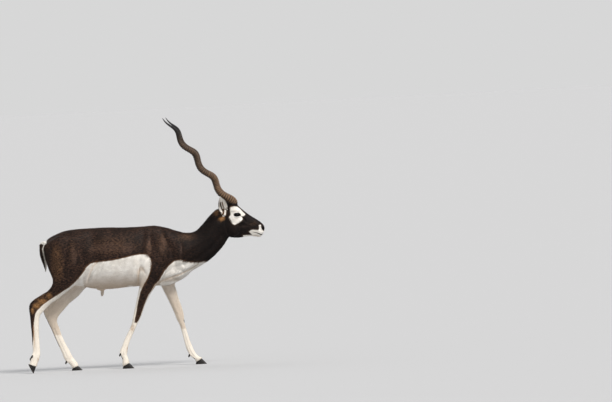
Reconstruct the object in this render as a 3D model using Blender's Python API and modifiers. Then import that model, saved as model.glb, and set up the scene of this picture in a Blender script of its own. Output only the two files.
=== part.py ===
"""A walking blackbuck buck, Antilope cervicapra, at life size, in metres with +Z up and the head towards +X.

The flesh is one form: closed lofts and muscles are joined, remeshed, smoothed and thinned, and thin cuts then
part it into torso, neck, head and legs. Horns, ears, eyes, hooves, dewclaws and tail are pieces of their own.
The origin is on the floor, under the middle of the whole animal.
"""

import math

import bmesh
import bpy
import numpy as np
from mathutils import Matrix, Vector

GAP = 0.0003  # clear space between two pieces that touch
VOXEL = 0.0032  # cell of the remesh that joins the flesh
SMOOTHING = 9  # rounds of smoothing over the joined flesh
FLESH_TRIANGLES = 6400
HEAD_START = 0.42  # where along X the thinning begins to spare the head
HEAD_KEPT = 0.9  # the most that the thinning spares a place
HEAD_FINENESS = 0.000006  # how much that slows the thinning
SMALLEST_PIECE = 60  # triangles, under which a cut-off scrap is no piece
RING_SIDES = 24
KEY_STEPS = 4  # sections from one key row of a loft to the next

EYE_CENTRE = (0.5195, 0.0310, 0.8115)
EYE_RADIUS = 0.0190
EYE_AIM = (14, 6)  # degrees that the eye looks forward and up, from straight out
LID_OPENING = (0.0176, 0.0088)  # half length and half height between the lids
LID_SIDES = 16
LID_TURN = 10  # degrees that the opening drops towards the nose
LID_FLARE = 0.5  # how much wider the opening is at its outer end
LID_REACH = (0.004, 0.040)  # where the opening starts and ends, out from the middle of the eye

HORN_BASE = (0.4935, 0.0268, 0.8840)
HORN_TIP = (0.1520, 0.1980, 1.3680)
HORN_RADII = [
    (0.00, 0.0210),
    (0.10, 0.0190),
    (0.30, 0.0156),
    (0.55, 0.0138),
    (0.72, 0.0118),
    (0.82, 0.0092),
    (0.90, 0.0066),
    (0.96, 0.0045),
    (1.00, 0.0024),
]
HORN_COIL = 0.0120  # how far the middle of the horn swings round its straight axis
HORN_BOW = 0.0065  # how far the lower half leans back from the straight axis
HORN_PITCH = 0.1740
HORN_PHASE = 0.004  # where the horn first swings forward, along its axis
HORN_RINGS = 20
HORN_RINGED = 0.80  # the part of the length that has rings
RING_HEIGHT = 0.0016
HORN_SUNK = 0.014  # how deep the base sits in the head
HORN_SIDES = 10
HORN_TIP_STEPS = 6  # sections from the last ring to the tip

EAR_ROOT = (0.4520, 0.0350, 0.8220)
EAR_TIPS = {-1: (0.4370, 0.1160, 0.9170), 1: (0.4640, 0.1080, 0.9060)}
EAR_HALF_WIDTH = 0.0250
EAR_THICKNESS = 0.0028
EAR_DEPTH = 0.0300
EAR_FACING = (0.60, 0.80, -0.25)  # where the open side of the cup looks
EAR_BEND = 0.0060  # how far the middle of the ear bows back
EAR_STOPS = (0.0, 0.08, 0.17, 0.28, 0.42, 0.57, 0.72, 0.85, 0.94, 1.0)
EAR_STEPS = 9

HOOF_WIDTH = 0.0176
HOOF_SPLAY = 4  # degrees between a claw and straight ahead
HOOF_SIDES = 12
CLEFT = 0.0012  # clear space between the two claws of a foot
CORONET_BACK = 0.0030  # how far the top of a hoof starts ahead of its heel

# Trunk, neck and head are lofts on the middle plane. A section is the point on the top line, the point on
# the bottom line, the half width, where the widest place lies from bottom (0) to top (1), and how square it
# is above and below.
TRUNK = [
    ((-0.546, 0.716), (-0.540, 0.640), 0.020, 0.50, 2.0, 2.0),
    ((-0.522, 0.739), (-0.530, 0.575), 0.060, 0.50, 2.0, 2.0),
    ((-0.480, 0.758), (-0.500, 0.510), 0.084, 0.55, 2.1, 2.0),
    ((-0.425, 0.775), (-0.440, 0.476), 0.098, 0.58, 2.1, 2.0),
    ((-0.350, 0.781), (-0.355, 0.462), 0.098, 0.58, 2.1, 2.1),
    ((-0.285, 0.782), (-0.285, 0.445), 0.097, 0.52, 2.0, 2.2),
    ((-0.200, 0.781), (-0.200, 0.439), 0.108, 0.47, 1.95, 2.2),
    ((-0.100, 0.776), (-0.100, 0.445), 0.114, 0.47, 1.9, 2.2),
    ((0.000, 0.777), (-0.010, 0.447), 0.106, 0.47, 1.8, 2.1),
    ((0.060, 0.779), (0.060, 0.445), 0.094, 0.46, 1.7, 1.9),
    ((0.120, 0.767), (0.120, 0.443), 0.084, 0.46, 1.7, 1.8),
    ((0.165, 0.750), (0.180, 0.463), 0.074, 0.48, 1.8, 1.8),
    ((0.200, 0.735), (0.222, 0.486), 0.062, 0.48, 1.9, 1.8),
    ((0.225, 0.720), (0.258, 0.520), 0.042, 0.50, 1.9, 1.9),
]
NECK = [
    ((0.030, 0.760), (0.120, 0.480), 0.070, 0.50, 2.0, 2.0),
    ((0.120, 0.764), (0.205, 0.478), 0.078, 0.48, 2.0, 1.9),
    ((0.180, 0.744), (0.262, 0.518), 0.074, 0.48, 2.0, 2.0),
    ((0.235, 0.729), (0.318, 0.548), 0.066, 0.48, 2.0, 2.1),
    ((0.285, 0.736), (0.366, 0.578), 0.060, 0.48, 2.0, 2.1),
    ((0.325, 0.769), (0.407, 0.614), 0.056, 0.48, 2.0, 2.1),
    ((0.365, 0.812), (0.440, 0.650), 0.054, 0.50, 2.1, 2.1),
    ((0.405, 0.846), (0.468, 0.688), 0.052, 0.55, 2.2, 2.0),
    ((0.440, 0.858), (0.490, 0.700), 0.046, 0.58, 2.2, 2.0),
]
HEAD = [
    ((0.410, 0.842), (0.460, 0.700), 0.040, 0.55, 2.2, 2.0),
    ((0.442, 0.868), (0.480, 0.690), 0.047, 0.62, 2.4, 1.9),
    ((0.476, 0.882), (0.500, 0.686), 0.050, 0.66, 2.5, 1.8),
    ((0.510, 0.878), (0.524, 0.685), 0.049, 0.66, 2.5, 1.7),
    ((0.537, 0.853), (0.546, 0.687), 0.041, 0.62, 2.4, 1.7),
    ((0.565, 0.827), (0.568, 0.690), 0.034, 0.56, 2.3, 1.8),
    ((0.594, 0.804), (0.590, 0.691), 0.029, 0.52, 2.3, 2.0),
    ((0.622, 0.785), (0.611, 0.688), 0.0255, 0.50, 2.3, 2.1),
    ((0.645, 0.768), (0.631, 0.686), 0.0245, 0.50, 2.3, 2.1),
    ((0.661, 0.751), (0.646, 0.689), 0.0220, 0.50, 2.3, 2.1),
    ((0.669, 0.732), (0.658, 0.700), 0.013, 0.50, 2.0, 2.0),
]

# A leg is a loft too. A section is its front edge and its back edge in side view, how far out its middle is,
# and its half width. The right legs are the ones towards the viewer.
FORE_RIGHT = [
    ((0.155, 0.640), (0.022, 0.668), 0.066, 0.026),
    ((0.140, 0.575), (-0.008, 0.600), 0.072, 0.034),
    ((0.114, 0.515), (-0.028, 0.545), 0.072, 0.037),
    ((0.089, 0.478), (-0.032, 0.505), 0.068, 0.034),
    ((0.060, 0.450), (-0.032, 0.472), 0.066, 0.030),
    ((0.039, 0.423), (-0.036, 0.444), 0.064, 0.027),
    ((0.020, 0.396), (-0.043, 0.417), 0.062, 0.024),
    ((-0.009, 0.343), (-0.057, 0.362), 0.059, 0.0195),
    ((-0.031, 0.289), (-0.072, 0.306), 0.056, 0.0180),
    ((-0.043, 0.266), (-0.079, 0.280), 0.056, 0.0185),
    ((-0.055, 0.245), (-0.085, 0.258), 0.055, 0.0170),
    ((-0.065, 0.224), (-0.092, 0.236), 0.055, 0.0145),
    ((-0.081, 0.192), (-0.108, 0.204), 0.055, 0.0125),
    ((-0.102, 0.150), (-0.131, 0.162), 0.055, 0.0125),
    ((-0.115, 0.114), (-0.148, 0.124), 0.056, 0.0145),
    ((-0.1190, 0.090), (-0.1620, 0.094), 0.057, 0.0170),
    ((-0.1215, 0.074), (-0.1575, 0.072), 0.058, 0.0165),
    ((-0.1145, 0.050), (-0.1500, 0.047), 0.058, 0.0175),
    ((-0.1115, 0.036), (-0.1515, 0.026), 0.058, 0.0190),
    ((-0.1100, 0.024), (-0.1490, 0.010), 0.058, 0.0150),
]
FORE_LEFT = [
    ((0.185, 0.640), (0.040, 0.640), 0.066, 0.026),
    ((0.190, 0.570), (0.050, 0.560), 0.072, 0.034),
    ((0.178, 0.505), (0.062, 0.490), 0.068, 0.035),
    ((0.158, 0.450), (0.082, 0.432), 0.065, 0.030),
    ((0.165, 0.408), (0.100, 0.392), 0.062, 0.026),
    ((0.173, 0.370), (0.118, 0.352), 0.060, 0.023),
    ((0.184, 0.334), (0.133, 0.316), 0.057, 0.0195),
    ((0.193, 0.300), (0.145, 0.284), 0.056, 0.0180),
    ((0.197, 0.272), (0.153, 0.258), 0.055, 0.0185),
    ((0.198, 0.249), (0.163, 0.236), 0.055, 0.0170),
    ((0.201, 0.225), (0.172, 0.213), 0.055, 0.0145),
    ((0.210, 0.183), (0.181, 0.174), 0.055, 0.0125),
    ((0.222, 0.138), (0.191, 0.128), 0.055, 0.0125),
    ((0.232, 0.108), (0.197, 0.098), 0.056, 0.0145),
    ((0.242, 0.080), (0.206, 0.072), 0.057, 0.0170),
    ((0.256, 0.054), (0.218, 0.050), 0.058, 0.0165),
    ((0.272, 0.041), (0.233, 0.036), 0.058, 0.0175),
    ((0.2835, 0.036), (0.2455, 0.023), 0.058, 0.0190),
    ((0.2815, 0.024), (0.2490, 0.010), 0.058, 0.0150),
]
HIND_RIGHT = [
    ((-0.340, 0.735), (-0.470, 0.750), 0.055, 0.034),
    ((-0.318, 0.680), (-0.546, 0.700), 0.060, 0.046),
    ((-0.306, 0.620), (-0.5475, 0.640), 0.062, 0.050),
    ((-0.310, 0.570), (-0.5335, 0.580), 0.064, 0.050),
    ((-0.338, 0.526), (-0.5175, 0.535), 0.066, 0.045),
    ((-0.360, 0.498), (-0.5105, 0.510), 0.067, 0.040),
    ((-0.402, 0.461), (-0.515, 0.482), 0.066, 0.034),
    ((-0.444, 0.431), (-0.539, 0.451), 0.063, 0.027),
    ((-0.487, 0.402), (-0.574, 0.431), 0.060, 0.0215),
    ((-0.530, 0.374), (-0.612, 0.410), 0.057, 0.0185),
    ((-0.559, 0.347), (-0.638, 0.389), 0.055, 0.0180),
    ((-0.576, 0.331), (-0.6475, 0.367), 0.055, 0.0185),
    ((-0.587, 0.318), (-0.6475, 0.338), 0.055, 0.0180),
    ((-0.593, 0.302), (-0.645, 0.309), 0.055, 0.0165),
    ((-0.598, 0.264), (-0.644, 0.266), 0.055, 0.0145),
    ((-0.600, 0.209), (-0.641, 0.209), 0.055, 0.0130),
    ((-0.599, 0.154), (-0.641, 0.154), 0.055, 0.0130),
    ((-0.598, 0.120), (-0.640, 0.124), 0.056, 0.0145),
    ((-0.599, 0.098), (-0.6465, 0.100), 0.057, 0.0170),
    ((-0.606, 0.075), (-0.6535, 0.080), 0.058, 0.0165),
    ((-0.615, 0.056), (-0.658, 0.064), 0.058, 0.0175),
    ((-0.620, 0.040), (-0.664, 0.050), 0.058, 0.0190),
    ((-0.625, 0.026), (-0.664, 0.036), 0.058, 0.0150),
]
HIND_LEFT = [
    ((-0.330, 0.735), (-0.470, 0.750), 0.055, 0.034),
    ((-0.305, 0.680), (-0.544, 0.700), 0.060, 0.046),
    ((-0.290, 0.620), (-0.5445, 0.640), 0.062, 0.050),
    ((-0.282, 0.560), (-0.525, 0.580), 0.064, 0.050),
    ((-0.296, 0.505), (-0.482, 0.535), 0.066, 0.046),
    ((-0.318, 0.468), (-0.470, 0.500), 0.067, 0.040),
    ((-0.347, 0.441), (-0.477, 0.472), 0.066, 0.034),
    ((-0.384, 0.404), (-0.495, 0.446), 0.063, 0.028),
    ((-0.427, 0.373), (-0.522, 0.417), 0.060, 0.0220),
    ((-0.461, 0.338), (-0.551, 0.387), 0.057, 0.0185),
    ((-0.484, 0.315), (-0.571, 0.361), 0.055, 0.0180),
    ((-0.498, 0.295), (-0.577, 0.336), 0.055, 0.0185),
    ((-0.503, 0.278), (-0.570, 0.309), 0.055, 0.0180),
    ((-0.501, 0.262), (-0.556, 0.276), 0.055, 0.0165),
    ((-0.493, 0.240), (-0.538, 0.232), 0.055, 0.0145),
    ((-0.482, 0.200), (-0.520, 0.184), 0.055, 0.0130),
    ((-0.462, 0.150), (-0.500, 0.134), 0.055, 0.0130),
    ((-0.443, 0.112), (-0.486, 0.098), 0.056, 0.0145),
    ((-0.4315, 0.084), (-0.479, 0.074), 0.057, 0.0170),
    ((-0.4185, 0.062), (-0.4695, 0.055), 0.058, 0.0165),
    ((-0.4055, 0.045), (-0.4500, 0.038), 0.058, 0.0175),
    ((-0.3995, 0.030), (-0.4395, 0.024), 0.058, 0.0190),
    ((-0.3985, 0.020), (-0.4365, 0.010), 0.058, 0.0150),
]

LEG_SQUARENESS = 2.1

# Muscles and bony places: centre, half sizes, and turn about Y in degrees. Each one off the middle plane is
# made on both sides.
MUSCLES = {
    "shoulder_blade": ((0.080, 0.056, 0.640), (0.052, 0.034, 0.100), -18),
    "upper_arm": ((0.055, 0.074, 0.560), (0.075, 0.034, 0.062), 25),
    "breast": ((0.175, 0.026, 0.520), (0.055, 0.034, 0.042), -40),
    "hip_bone": ((-0.335, 0.064, 0.722), (0.044, 0.028, 0.026), 0),
    "seat_bone": ((-0.508, 0.050, 0.690), (0.026, 0.026, 0.040), 0),
    "cheek": ((0.494, 0.030, 0.742), (0.040, 0.019, 0.046), -20),
    "brow": ((0.510, 0.036, 0.828), (0.030, 0.017, 0.022), 30),
    "lids": ((0.5195, 0.0310, 0.8115), (0.0235, 0.0232, 0.0205), 20),
    "cheekbone": ((0.535, 0.033, 0.782), (0.034, 0.011, 0.012), 30),
    "upper_lip": ((0.640, 0.013, 0.718), (0.024, 0.011, 0.014), 20),
    "chin": ((0.632, 0.000, 0.694), (0.018, 0.014, 0.010), 8),
    "sheath": ((-0.246, 0.000, 0.443), (0.026, 0.012, 0.011), 0),
    "sheath_tuft": ((-0.242, 0.000, 0.424), (0.0120, 0.0090, 0.027), 6),
}

# The tail hangs behind the rump, in the same kind of sections as the trunk.
TAIL = [
    ((-0.549, 0.724), (-0.530, 0.712), 0.013, 0.5, 2.0, 2.0),
    ((-0.567, 0.712), (-0.545, 0.694), 0.015, 0.5, 2.0, 2.0),
    ((-0.574, 0.688), (-0.552, 0.680), 0.017, 0.5, 2.0, 2.0),
    ((-0.575, 0.650), (-0.548, 0.648), 0.017, 0.5, 2.0, 2.0),
    ((-0.568, 0.622), (-0.543, 0.622), 0.015, 0.5, 2.0, 2.0),
    ((-0.558, 0.592), (-0.540, 0.592), 0.012, 0.5, 2.0, 2.0),
    ((-0.548, 0.565), (-0.541, 0.563), 0.005, 0.5, 2.0, 2.0),
]
TAIL_STEPS = 2
TAIL_SIDES = 12

# The line of the mouth: X, Z, and how far out the skin is there.
MOUTH = [
    (0.594, 0.714, 0.0250),
    (0.606, 0.713, 0.0235),
    (0.618, 0.710, 0.0225),
    (0.630, 0.706, 0.0205),
    (0.642, 0.700, 0.0160),
    (0.652, 0.696, 0.0080),
    (0.664, 0.691, 0.0010),
]
MOUTH_DEPTH = 0.0045
MOUTH_HEIGHT = 0.0022
MOUTH_CLEARANCE = 0.010  # how far the wedge stands out of the skin
NOSTRIL = (0.6600, 0.0165, 0.7315)
NOSTRIL_RADII = (0.0085, 0.0060, 0.0042)
NOSTRIL_TURN = 35

# Where the flesh is parted: flat seams across the neck, and a dome over the top of each leg.
SEAMS = [
    ("neck_seam", (0.135, 0.830), (0.262, 0.420)),
    ("head_seam", (0.376, 0.890), (0.488, 0.640)),
]
SEAM_HALF_WIDTH = 0.2
LEG_TOPS = {
    "front_right": ((0.018, -0.066, 0.430), (0.088, 0.060, 0.125), 0),
    "front_left": ((0.125, 0.066, 0.430), (0.088, 0.060, 0.125), 0),
    "hind_right": ((-0.441, -0.070, 0.440), (0.128, 0.062, 0.195), 22),
    "hind_left": ((-0.403, 0.070, 0.433), (0.128, 0.062, 0.200), 10),
}
DOME_SEGMENTS = (20, 10)
# A point on or near the surface of each piece of the flesh.
PROBES = {
    "torso": (-0.10, 0.0, 0.777),
    "neck": (0.30, 0.0, 0.750),
    "head": (0.66, 0.0, 0.730),
    "leg_front_right": (-0.08, -0.055, 0.20),
    "leg_front_left": (0.20, 0.055, 0.20),
    "leg_hind_right": (-0.62, -0.055, 0.20),
    "leg_hind_left": (-0.50, 0.055, 0.20),
}

# A foot: heel and toe along X, how far out it is, the height of the coronet in front and behind, how far
# behind the toe the coronet ends, and the pitch of a foot that stands on its toe.
FEET = {
    "front_right": (-0.150, -0.087, 0.058, 0.030, 0.012, 0.026, 0),
    "front_left": (0.248, 0.308, 0.058, 0.030, 0.012, 0.026, 0),
    "hind_right": (-0.700, -0.643, 0.058, 0.034, 0.007, 0.029, 64),
    "hind_left": (-0.436, -0.379, 0.058, 0.024, 0.011, 0.022, 0),
}
TOE_FLAT = 0.0012  # how much of the raised foot's toe the ground takes off
CORONET_BLOCK = (0.16, 0.075, 0.10)
CORONET_BLOCK_AHEAD = 0.03
GROUND_BLOCK = (0.30, 0.30, 0.10)
# The middles of the outer and the inner dewclaw of each foot.
DEWCLAWS = {
    "front_right": ((-0.1605, 0.0665, 0.079), (-0.1605, 0.0475, 0.079)),
    "front_left": ((0.2140, 0.0665, 0.051), (0.2140, 0.0475, 0.051)),
    "hind_right": ((-0.6455, 0.0670, 0.0925), (-0.6545, 0.0475, 0.0810)),
    "hind_left": ((-0.4660, 0.0665, 0.048), (-0.4660, 0.0475, 0.048)),
}
DEWCLAW_RADII = (0.0062, 0.0054, 0.0095)
DEWCLAW_TURN = -30
DEWCLAW_SEGMENTS = (8, 6)
EYE_SEGMENTS = (16, 10)
NOSTRIL_SEGMENTS = (12, 8)
MUSCLE_SEGMENTS = (20, 12)

DARK_COAT = (0.030, 0.018, 0.013)
FACE_COAT = (0.120, 0.100, 0.085)
LEG_COAT = (0.450, 0.390, 0.320)
HORN_COLOUR = (0.075, 0.052, 0.036)
HOOF_COLOUR = (0.012, 0.011, 0.010)
EYE_COLOUR = (0.010, 0.006, 0.004)
# The colour and roughness of each piece, by the start of its name.
LOOKS = {
    "torso": (DARK_COAT, 0.8),
    "neck": (DARK_COAT, 0.8),
    "tail": (DARK_COAT, 0.8),
    "head": (FACE_COAT, 0.75),
    "ear": (FACE_COAT, 0.75),
    "leg": (LEG_COAT, 0.8),
    "horn": (HORN_COLOUR, 0.5),
    "hoof": (HOOF_COLOUR, 0.45),
    "dewclaw": (HOOF_COLOUR, 0.45),
    "eye": (EYE_COLOUR, 0.08),
}


def spread_keys(rows, steps):
    """Rows between the key rows, on a Catmull-Rom curve through them, with steps to each stretch."""
    keys = np.array(rows, float)
    before = 2 * keys[0] - keys[1]
    after = 2 * keys[-1] - keys[-2]
    padded = np.vstack([before, keys, after])
    found = []
    for i in range(len(keys) - 1):
        a, b, c, d = padded[i : i + 4]
        for t in np.arange(steps) / steps:
            cubic = -a + 3 * b - 3 * c + d
            found.append(b + 0.5 * t * (c - a + t * (2 * a - 5 * b + 4 * c - d + t * cubic)))
    found.append(keys[-1])
    return np.array(found)


def section(top, bottom, out, half, widest, above, below, sides=RING_SIDES):
    """The points of one closed section, which stands on the line from bottom to top in side view."""
    top, bottom = np.array(top), np.array(bottom)
    middle = bottom + widest * (top - bottom)
    points = []
    for i in range(sides):
        angle = 2 * math.pi * i / sides
        across, along = math.cos(angle), math.sin(angle)
        power = 2 / (above if along > 0 else below)
        arm = (top - middle) if along > 0 else (middle - bottom)
        x, z = middle + arm * math.copysign(abs(along) ** power, along)
        y = out + half * math.copysign(abs(across) ** power, across)
        points.append((x, y, z))
    return points


def new_object(name, mesh, collection):
    """An object for a mesh, in a collection."""
    thing = bpy.data.objects.new(name, mesh)
    collection.objects.link(thing)
    return thing


def loft(name, sections, collection):
    """A closed solid through a row of sections with the same number of points."""
    bm = bmesh.new()
    loops = [[bm.verts.new(p) for p in points] for points in sections]
    for one, two in zip(loops, loops[1:]):
        for i in range(len(one)):
            j = (i + 1) % len(one)
            bm.faces.new((one[i], one[j], two[j], two[i]))
    bm.faces.new(loops[0])
    bm.faces.new(loops[-1])
    bmesh.ops.recalc_face_normals(bm, faces=bm.faces)
    bmesh.ops.triangulate(bm, faces=bm.faces)
    mesh = bpy.data.meshes.new(name)
    bm.to_mesh(mesh)
    bm.free()
    return new_object(name, mesh, collection)


def placed(centre, radii, turn):
    """The matrix that sizes a unit form, turns it about Y by some degrees, and moves it to its centre."""
    turned = Matrix.Rotation(math.radians(turn), 4, "Y")
    return Matrix.Translation(centre) @ turned @ Matrix.Diagonal((*radii, 1))


def ball(name, centre, radii, collection, turn, segments):
    """An ellipsoid, turned about Y by some degrees."""
    bm = bmesh.new()
    bmesh.ops.create_uvsphere(bm, u_segments=segments[0], v_segments=segments[1], radius=1.0)
    bmesh.ops.triangulate(bm, faces=bm.faces)
    bmesh.ops.transform(bm, matrix=placed(centre, radii, turn), verts=bm.verts)
    mesh = bpy.data.meshes.new(name)
    bm.to_mesh(mesh)
    bm.free()
    return new_object(name, mesh, collection)


def body_loft(name, rows, collection, steps=KEY_STEPS, sides=RING_SIDES):
    """A loft on the middle plane, through key rows."""
    flat = [(*top, *bottom, *rest) for top, bottom, *rest in rows]
    rings = []
    for x1, z1, x2, z2, half, widest, above, below in spread_keys(flat, steps):
        rings.append(section((x1, z1), (x2, z2), 0.0, half, widest, above, below, sides))
    return loft(name, rings, collection)


def leg_loft(name, rows, side, collection):
    """A leg through its key rows, on the left (1) or the right (-1)."""
    flat = [(*front, *back, out, half) for front, back, out, half in rows]
    square = LEG_SQUARENESS
    rings = []
    for x1, z1, x2, z2, out, half in spread_keys(flat, KEY_STEPS):
        rings.append(section((x1, z1), (x2, z2), side * out, half, 0.5, square, square))
    return loft(name, rings, collection)


def flesh_forms(collection):
    """Every loft and muscle that the flesh is joined from."""
    body_loft("trunk", TRUNK, collection)
    body_loft("neck_form", NECK, collection)
    body_loft("skull", HEAD, collection)
    for name, rows, side in (
        ("fore_right", FORE_RIGHT, -1),
        ("fore_left", FORE_LEFT, 1),
        ("hind_right", HIND_RIGHT, -1),
        ("hind_left", HIND_LEFT, 1),
    ):
        leg_loft(name, rows, side, collection)
    for name, (centre, radii, turn) in MUSCLES.items():
        for side in (1, -1) if centre[1] else (1,):
            place = (centre[0], side * centre[1], centre[2])
            ball(name, place, radii, collection, turn, MUSCLE_SEGMENTS)


def joined_copy(name, things, collection):
    """One mesh that holds every face of things."""
    bm = bmesh.new()
    for thing in things:
        bm.from_mesh(thing.data)
    mesh = bpy.data.meshes.new(name)
    bm.to_mesh(mesh)
    bm.free()
    return new_object(name, mesh, collection)


def apply_modifiers(thing):
    """Makes what the modifiers show the thing's own mesh."""
    graph = bpy.context.evaluated_depsgraph_get()
    mesh = bpy.data.meshes.new_from_object(thing.evaluated_get(graph))
    thing.modifiers.clear()
    old = thing.data
    thing.data = mesh
    bpy.data.meshes.remove(old)


def remove_form(thing):
    """Takes away a form that has done its work."""
    mesh = thing.data
    bpy.data.objects.remove(thing)
    bpy.data.meshes.remove(mesh)


def keep_largest(thing):
    """Drops every closed surface of a mesh but the largest."""
    bm = bmesh.new()
    bm.from_mesh(thing.data)
    islands = find_islands(bm)
    islands.sort(key=len, reverse=True)
    loose = [face for island in islands[1:] for face in island]
    bmesh.ops.delete(bm, geom=loose, context="FACES")
    bm.to_mesh(thing.data)
    bm.free()


def find_islands(bm):
    """The faces of each closed surface in a mesh, as lists."""
    seen, islands = set(), []
    for face in bm.faces:
        if face in seen:
            continue
        seen.add(face)
        island, edge = [], [face]
        while edge:
            here = edge.pop()
            island.append(here)
            for side in here.edges:
                for other in side.link_faces:
                    if other not in seen:
                        seen.add(other)
                        edge.append(other)
        islands.append(island)
    return islands


def cut(thing, cutter):
    """Takes the cutter's shape out of thing for good."""
    modifier = thing.modifiers.new("cut", "BOOLEAN")
    modifier.operation = "DIFFERENCE"
    modifier.solver = "EXACT"
    modifier.object = cutter
    apply_modifiers(thing)


def swollen(thing, amount, collection):
    """A copy of a form with every face moved out by amount, also at its sharp edges."""
    copy = new_object(thing.name + "_room", thing.data.copy(), collection)
    bm = bmesh.new()
    bm.from_mesh(copy.data)
    moves = []
    for v in bm.verts:
        normals = np.array([tuple(face.normal) for face in v.link_faces])
        move = np.linalg.lstsq(normals, np.full(len(normals), amount), rcond=0.05)[0]
        moves.append(Vector(move).normalized() * min(np.linalg.norm(move), 3 * amount))
    for v, move in zip(bm.verts, moves):
        v.co += move
    bm.to_mesh(copy.data)
    bm.free()
    return copy


def distance_to(island, point):
    """How far the nearest corner of some faces is from a point."""
    return min((v.co - point).length for face in island for v in face.verts)


def split_flesh(flesh, probes, collection):
    """Parts the cut flesh into its closed surfaces, each named by the probe point that is nearest to it."""
    bm = bmesh.new()
    bm.from_mesh(flesh.data)
    islands = [island for island in find_islands(bm) if len(island) > SMALLEST_PIECE]
    pieces = {}
    for name, probe in probes.items():
        nearest = min(islands, key=lambda island: distance_to(island, Vector(probe)))
        piece = bmesh.new()
        copies = {}
        for face in nearest:
            corners = []
            for v in face.verts:
                if v not in copies:
                    copies[v] = piece.verts.new(v.co)
                corners.append(copies[v])
            piece.faces.new(corners)
        mesh = bpy.data.meshes.new(name)
        piece.to_mesh(mesh)
        piece.free()
        pieces[name] = new_object(name, mesh, collection)
    bm.free()
    return pieces


def slab(name, top, bottom, half_width, collection):
    """A flat sheet as thin as the gap, through two points of the middle plane."""
    one, two = Vector((top[0], 0, top[1])), Vector((bottom[0], 0, bottom[1]))
    along = two - one
    bm = bmesh.new()
    bmesh.ops.create_cube(bm, size=1.0)
    turn = along.to_track_quat("X", "Z").to_matrix().to_4x4()
    size = Matrix.Diagonal((along.length, 2 * half_width, GAP, 1))
    bmesh.ops.transform(bm, matrix=Matrix.Translation((one + two) / 2) @ turn @ size, verts=bm.verts)
    mesh = bpy.data.meshes.new(name)
    bm.to_mesh(mesh)
    bm.free()
    return new_object(name, mesh, collection)


def dome(name, centre, radii, tilt, collection):
    """Half of a hollow ellipsoid with a wall as thin as the gap, which cuts the top of a leg free."""
    bm = bmesh.new()
    bmesh.ops.create_uvsphere(bm, u_segments=DOME_SEGMENTS[0], v_segments=DOME_SEGMENTS[1], radius=1.0)
    below = [v for v in bm.verts if v.co.z < -0.001]
    bmesh.ops.delete(bm, geom=below, context="VERTS")
    bmesh.ops.transform(bm, matrix=placed(centre, radii, tilt), verts=bm.verts)
    mesh = bpy.data.meshes.new(name)
    bm.to_mesh(mesh)
    bm.free()
    shell = new_object(name, mesh, collection)
    wall = shell.modifiers.new("wall", "SOLIDIFY")
    wall.thickness = GAP
    apply_modifiers(shell)
    return shell


def ear_loft(name, side, collection):
    """A leaf rolled into a cup: filled at the root, thin at the rim, open forwards and outwards."""
    root, tip = (Vector((p[0], side * p[1], p[2])) for p in (EAR_ROOT, EAR_TIPS[side]))
    along = (tip - root).normalized()
    facing = Vector((EAR_FACING[0], side * EAR_FACING[1], EAR_FACING[2]))
    facing = (facing - facing.dot(along) * along).normalized()
    across = along.cross(facing)
    length = (tip - root).length
    rings = []
    for t in EAR_STOPS:
        leaf = 0.42 + 0.62 * math.sin(math.pi * min(t, 0.86) ** 0.85)
        half = EAR_HALF_WIDTH * leaf * (1 - t**5) + 0.0016
        depth = EAR_DEPTH * (1 - t) ** 0.7 * (0.45 + 0.55 * min(1, t / 0.2)) + 0.003
        wall = EAR_THICKNESS * (1 - 0.4 * t)
        filled = max(0.0, 1 - t / 0.22) ** 1.5
        hollow = (depth - wall) * (1 - filled) - 0.6 * depth * filled
        middle = root + along * (length * t) - facing * (EAR_BEND * math.sin(math.pi * t) - 0.45 * depth)
        outer, inner = [], []
        for i in range(EAR_STEPS):
            swing = math.pi * (i / (EAR_STEPS - 1) - 0.5)
            wide, deep = math.sin(swing), math.cos(swing)
            narrow = half - 0.8 * wall
            outer.append(middle + across * (half * wide) - facing * (depth * deep))
            inner.append(middle + across * (narrow * wide) - facing * (hollow * deep - 0.3 * wall))
        rings.append([tuple(p) for p in outer + inner[::-1]])
    return loft(name, rings, collection)


def horn_path(side):
    """The middle line of a horn as a function of the way along it, its length, and its outward direction."""
    base, tip = (Vector((p[0], side * p[1], p[2])) for p in (HORN_BASE, HORN_TIP))
    along = (tip - base).normalized()
    forward = Vector((1, 0, 0))
    forward = (forward - forward.dot(along) * along).normalized()
    outward = along.cross(forward)
    if outward.y * side < 0:
        outward = -outward
    length = (tip - base).length

    def middle(t):
        turn = 2 * math.pi * (t * length - HORN_PHASE) / HORN_PITCH
        swing = HORN_COIL * min(1.0, 0.75 + t) * (1 - 0.45 * max(0.0, t - 0.75) / 0.25)
        bow = HORN_BOW * math.sin(math.pi * min(1.0, max(0.0, t)) ** 0.55)
        ahead = swing * math.cos(turn) - bow
        return base + along * (t * length) + forward * ahead + outward * (swing * math.sin(turn))

    return middle, length, outward


def horn_radius(t):
    """How thick a horn is some way along it."""
    return float(np.interp(t, [row[0] for row in HORN_RADII], [row[1] for row in HORN_RADII]))


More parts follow.
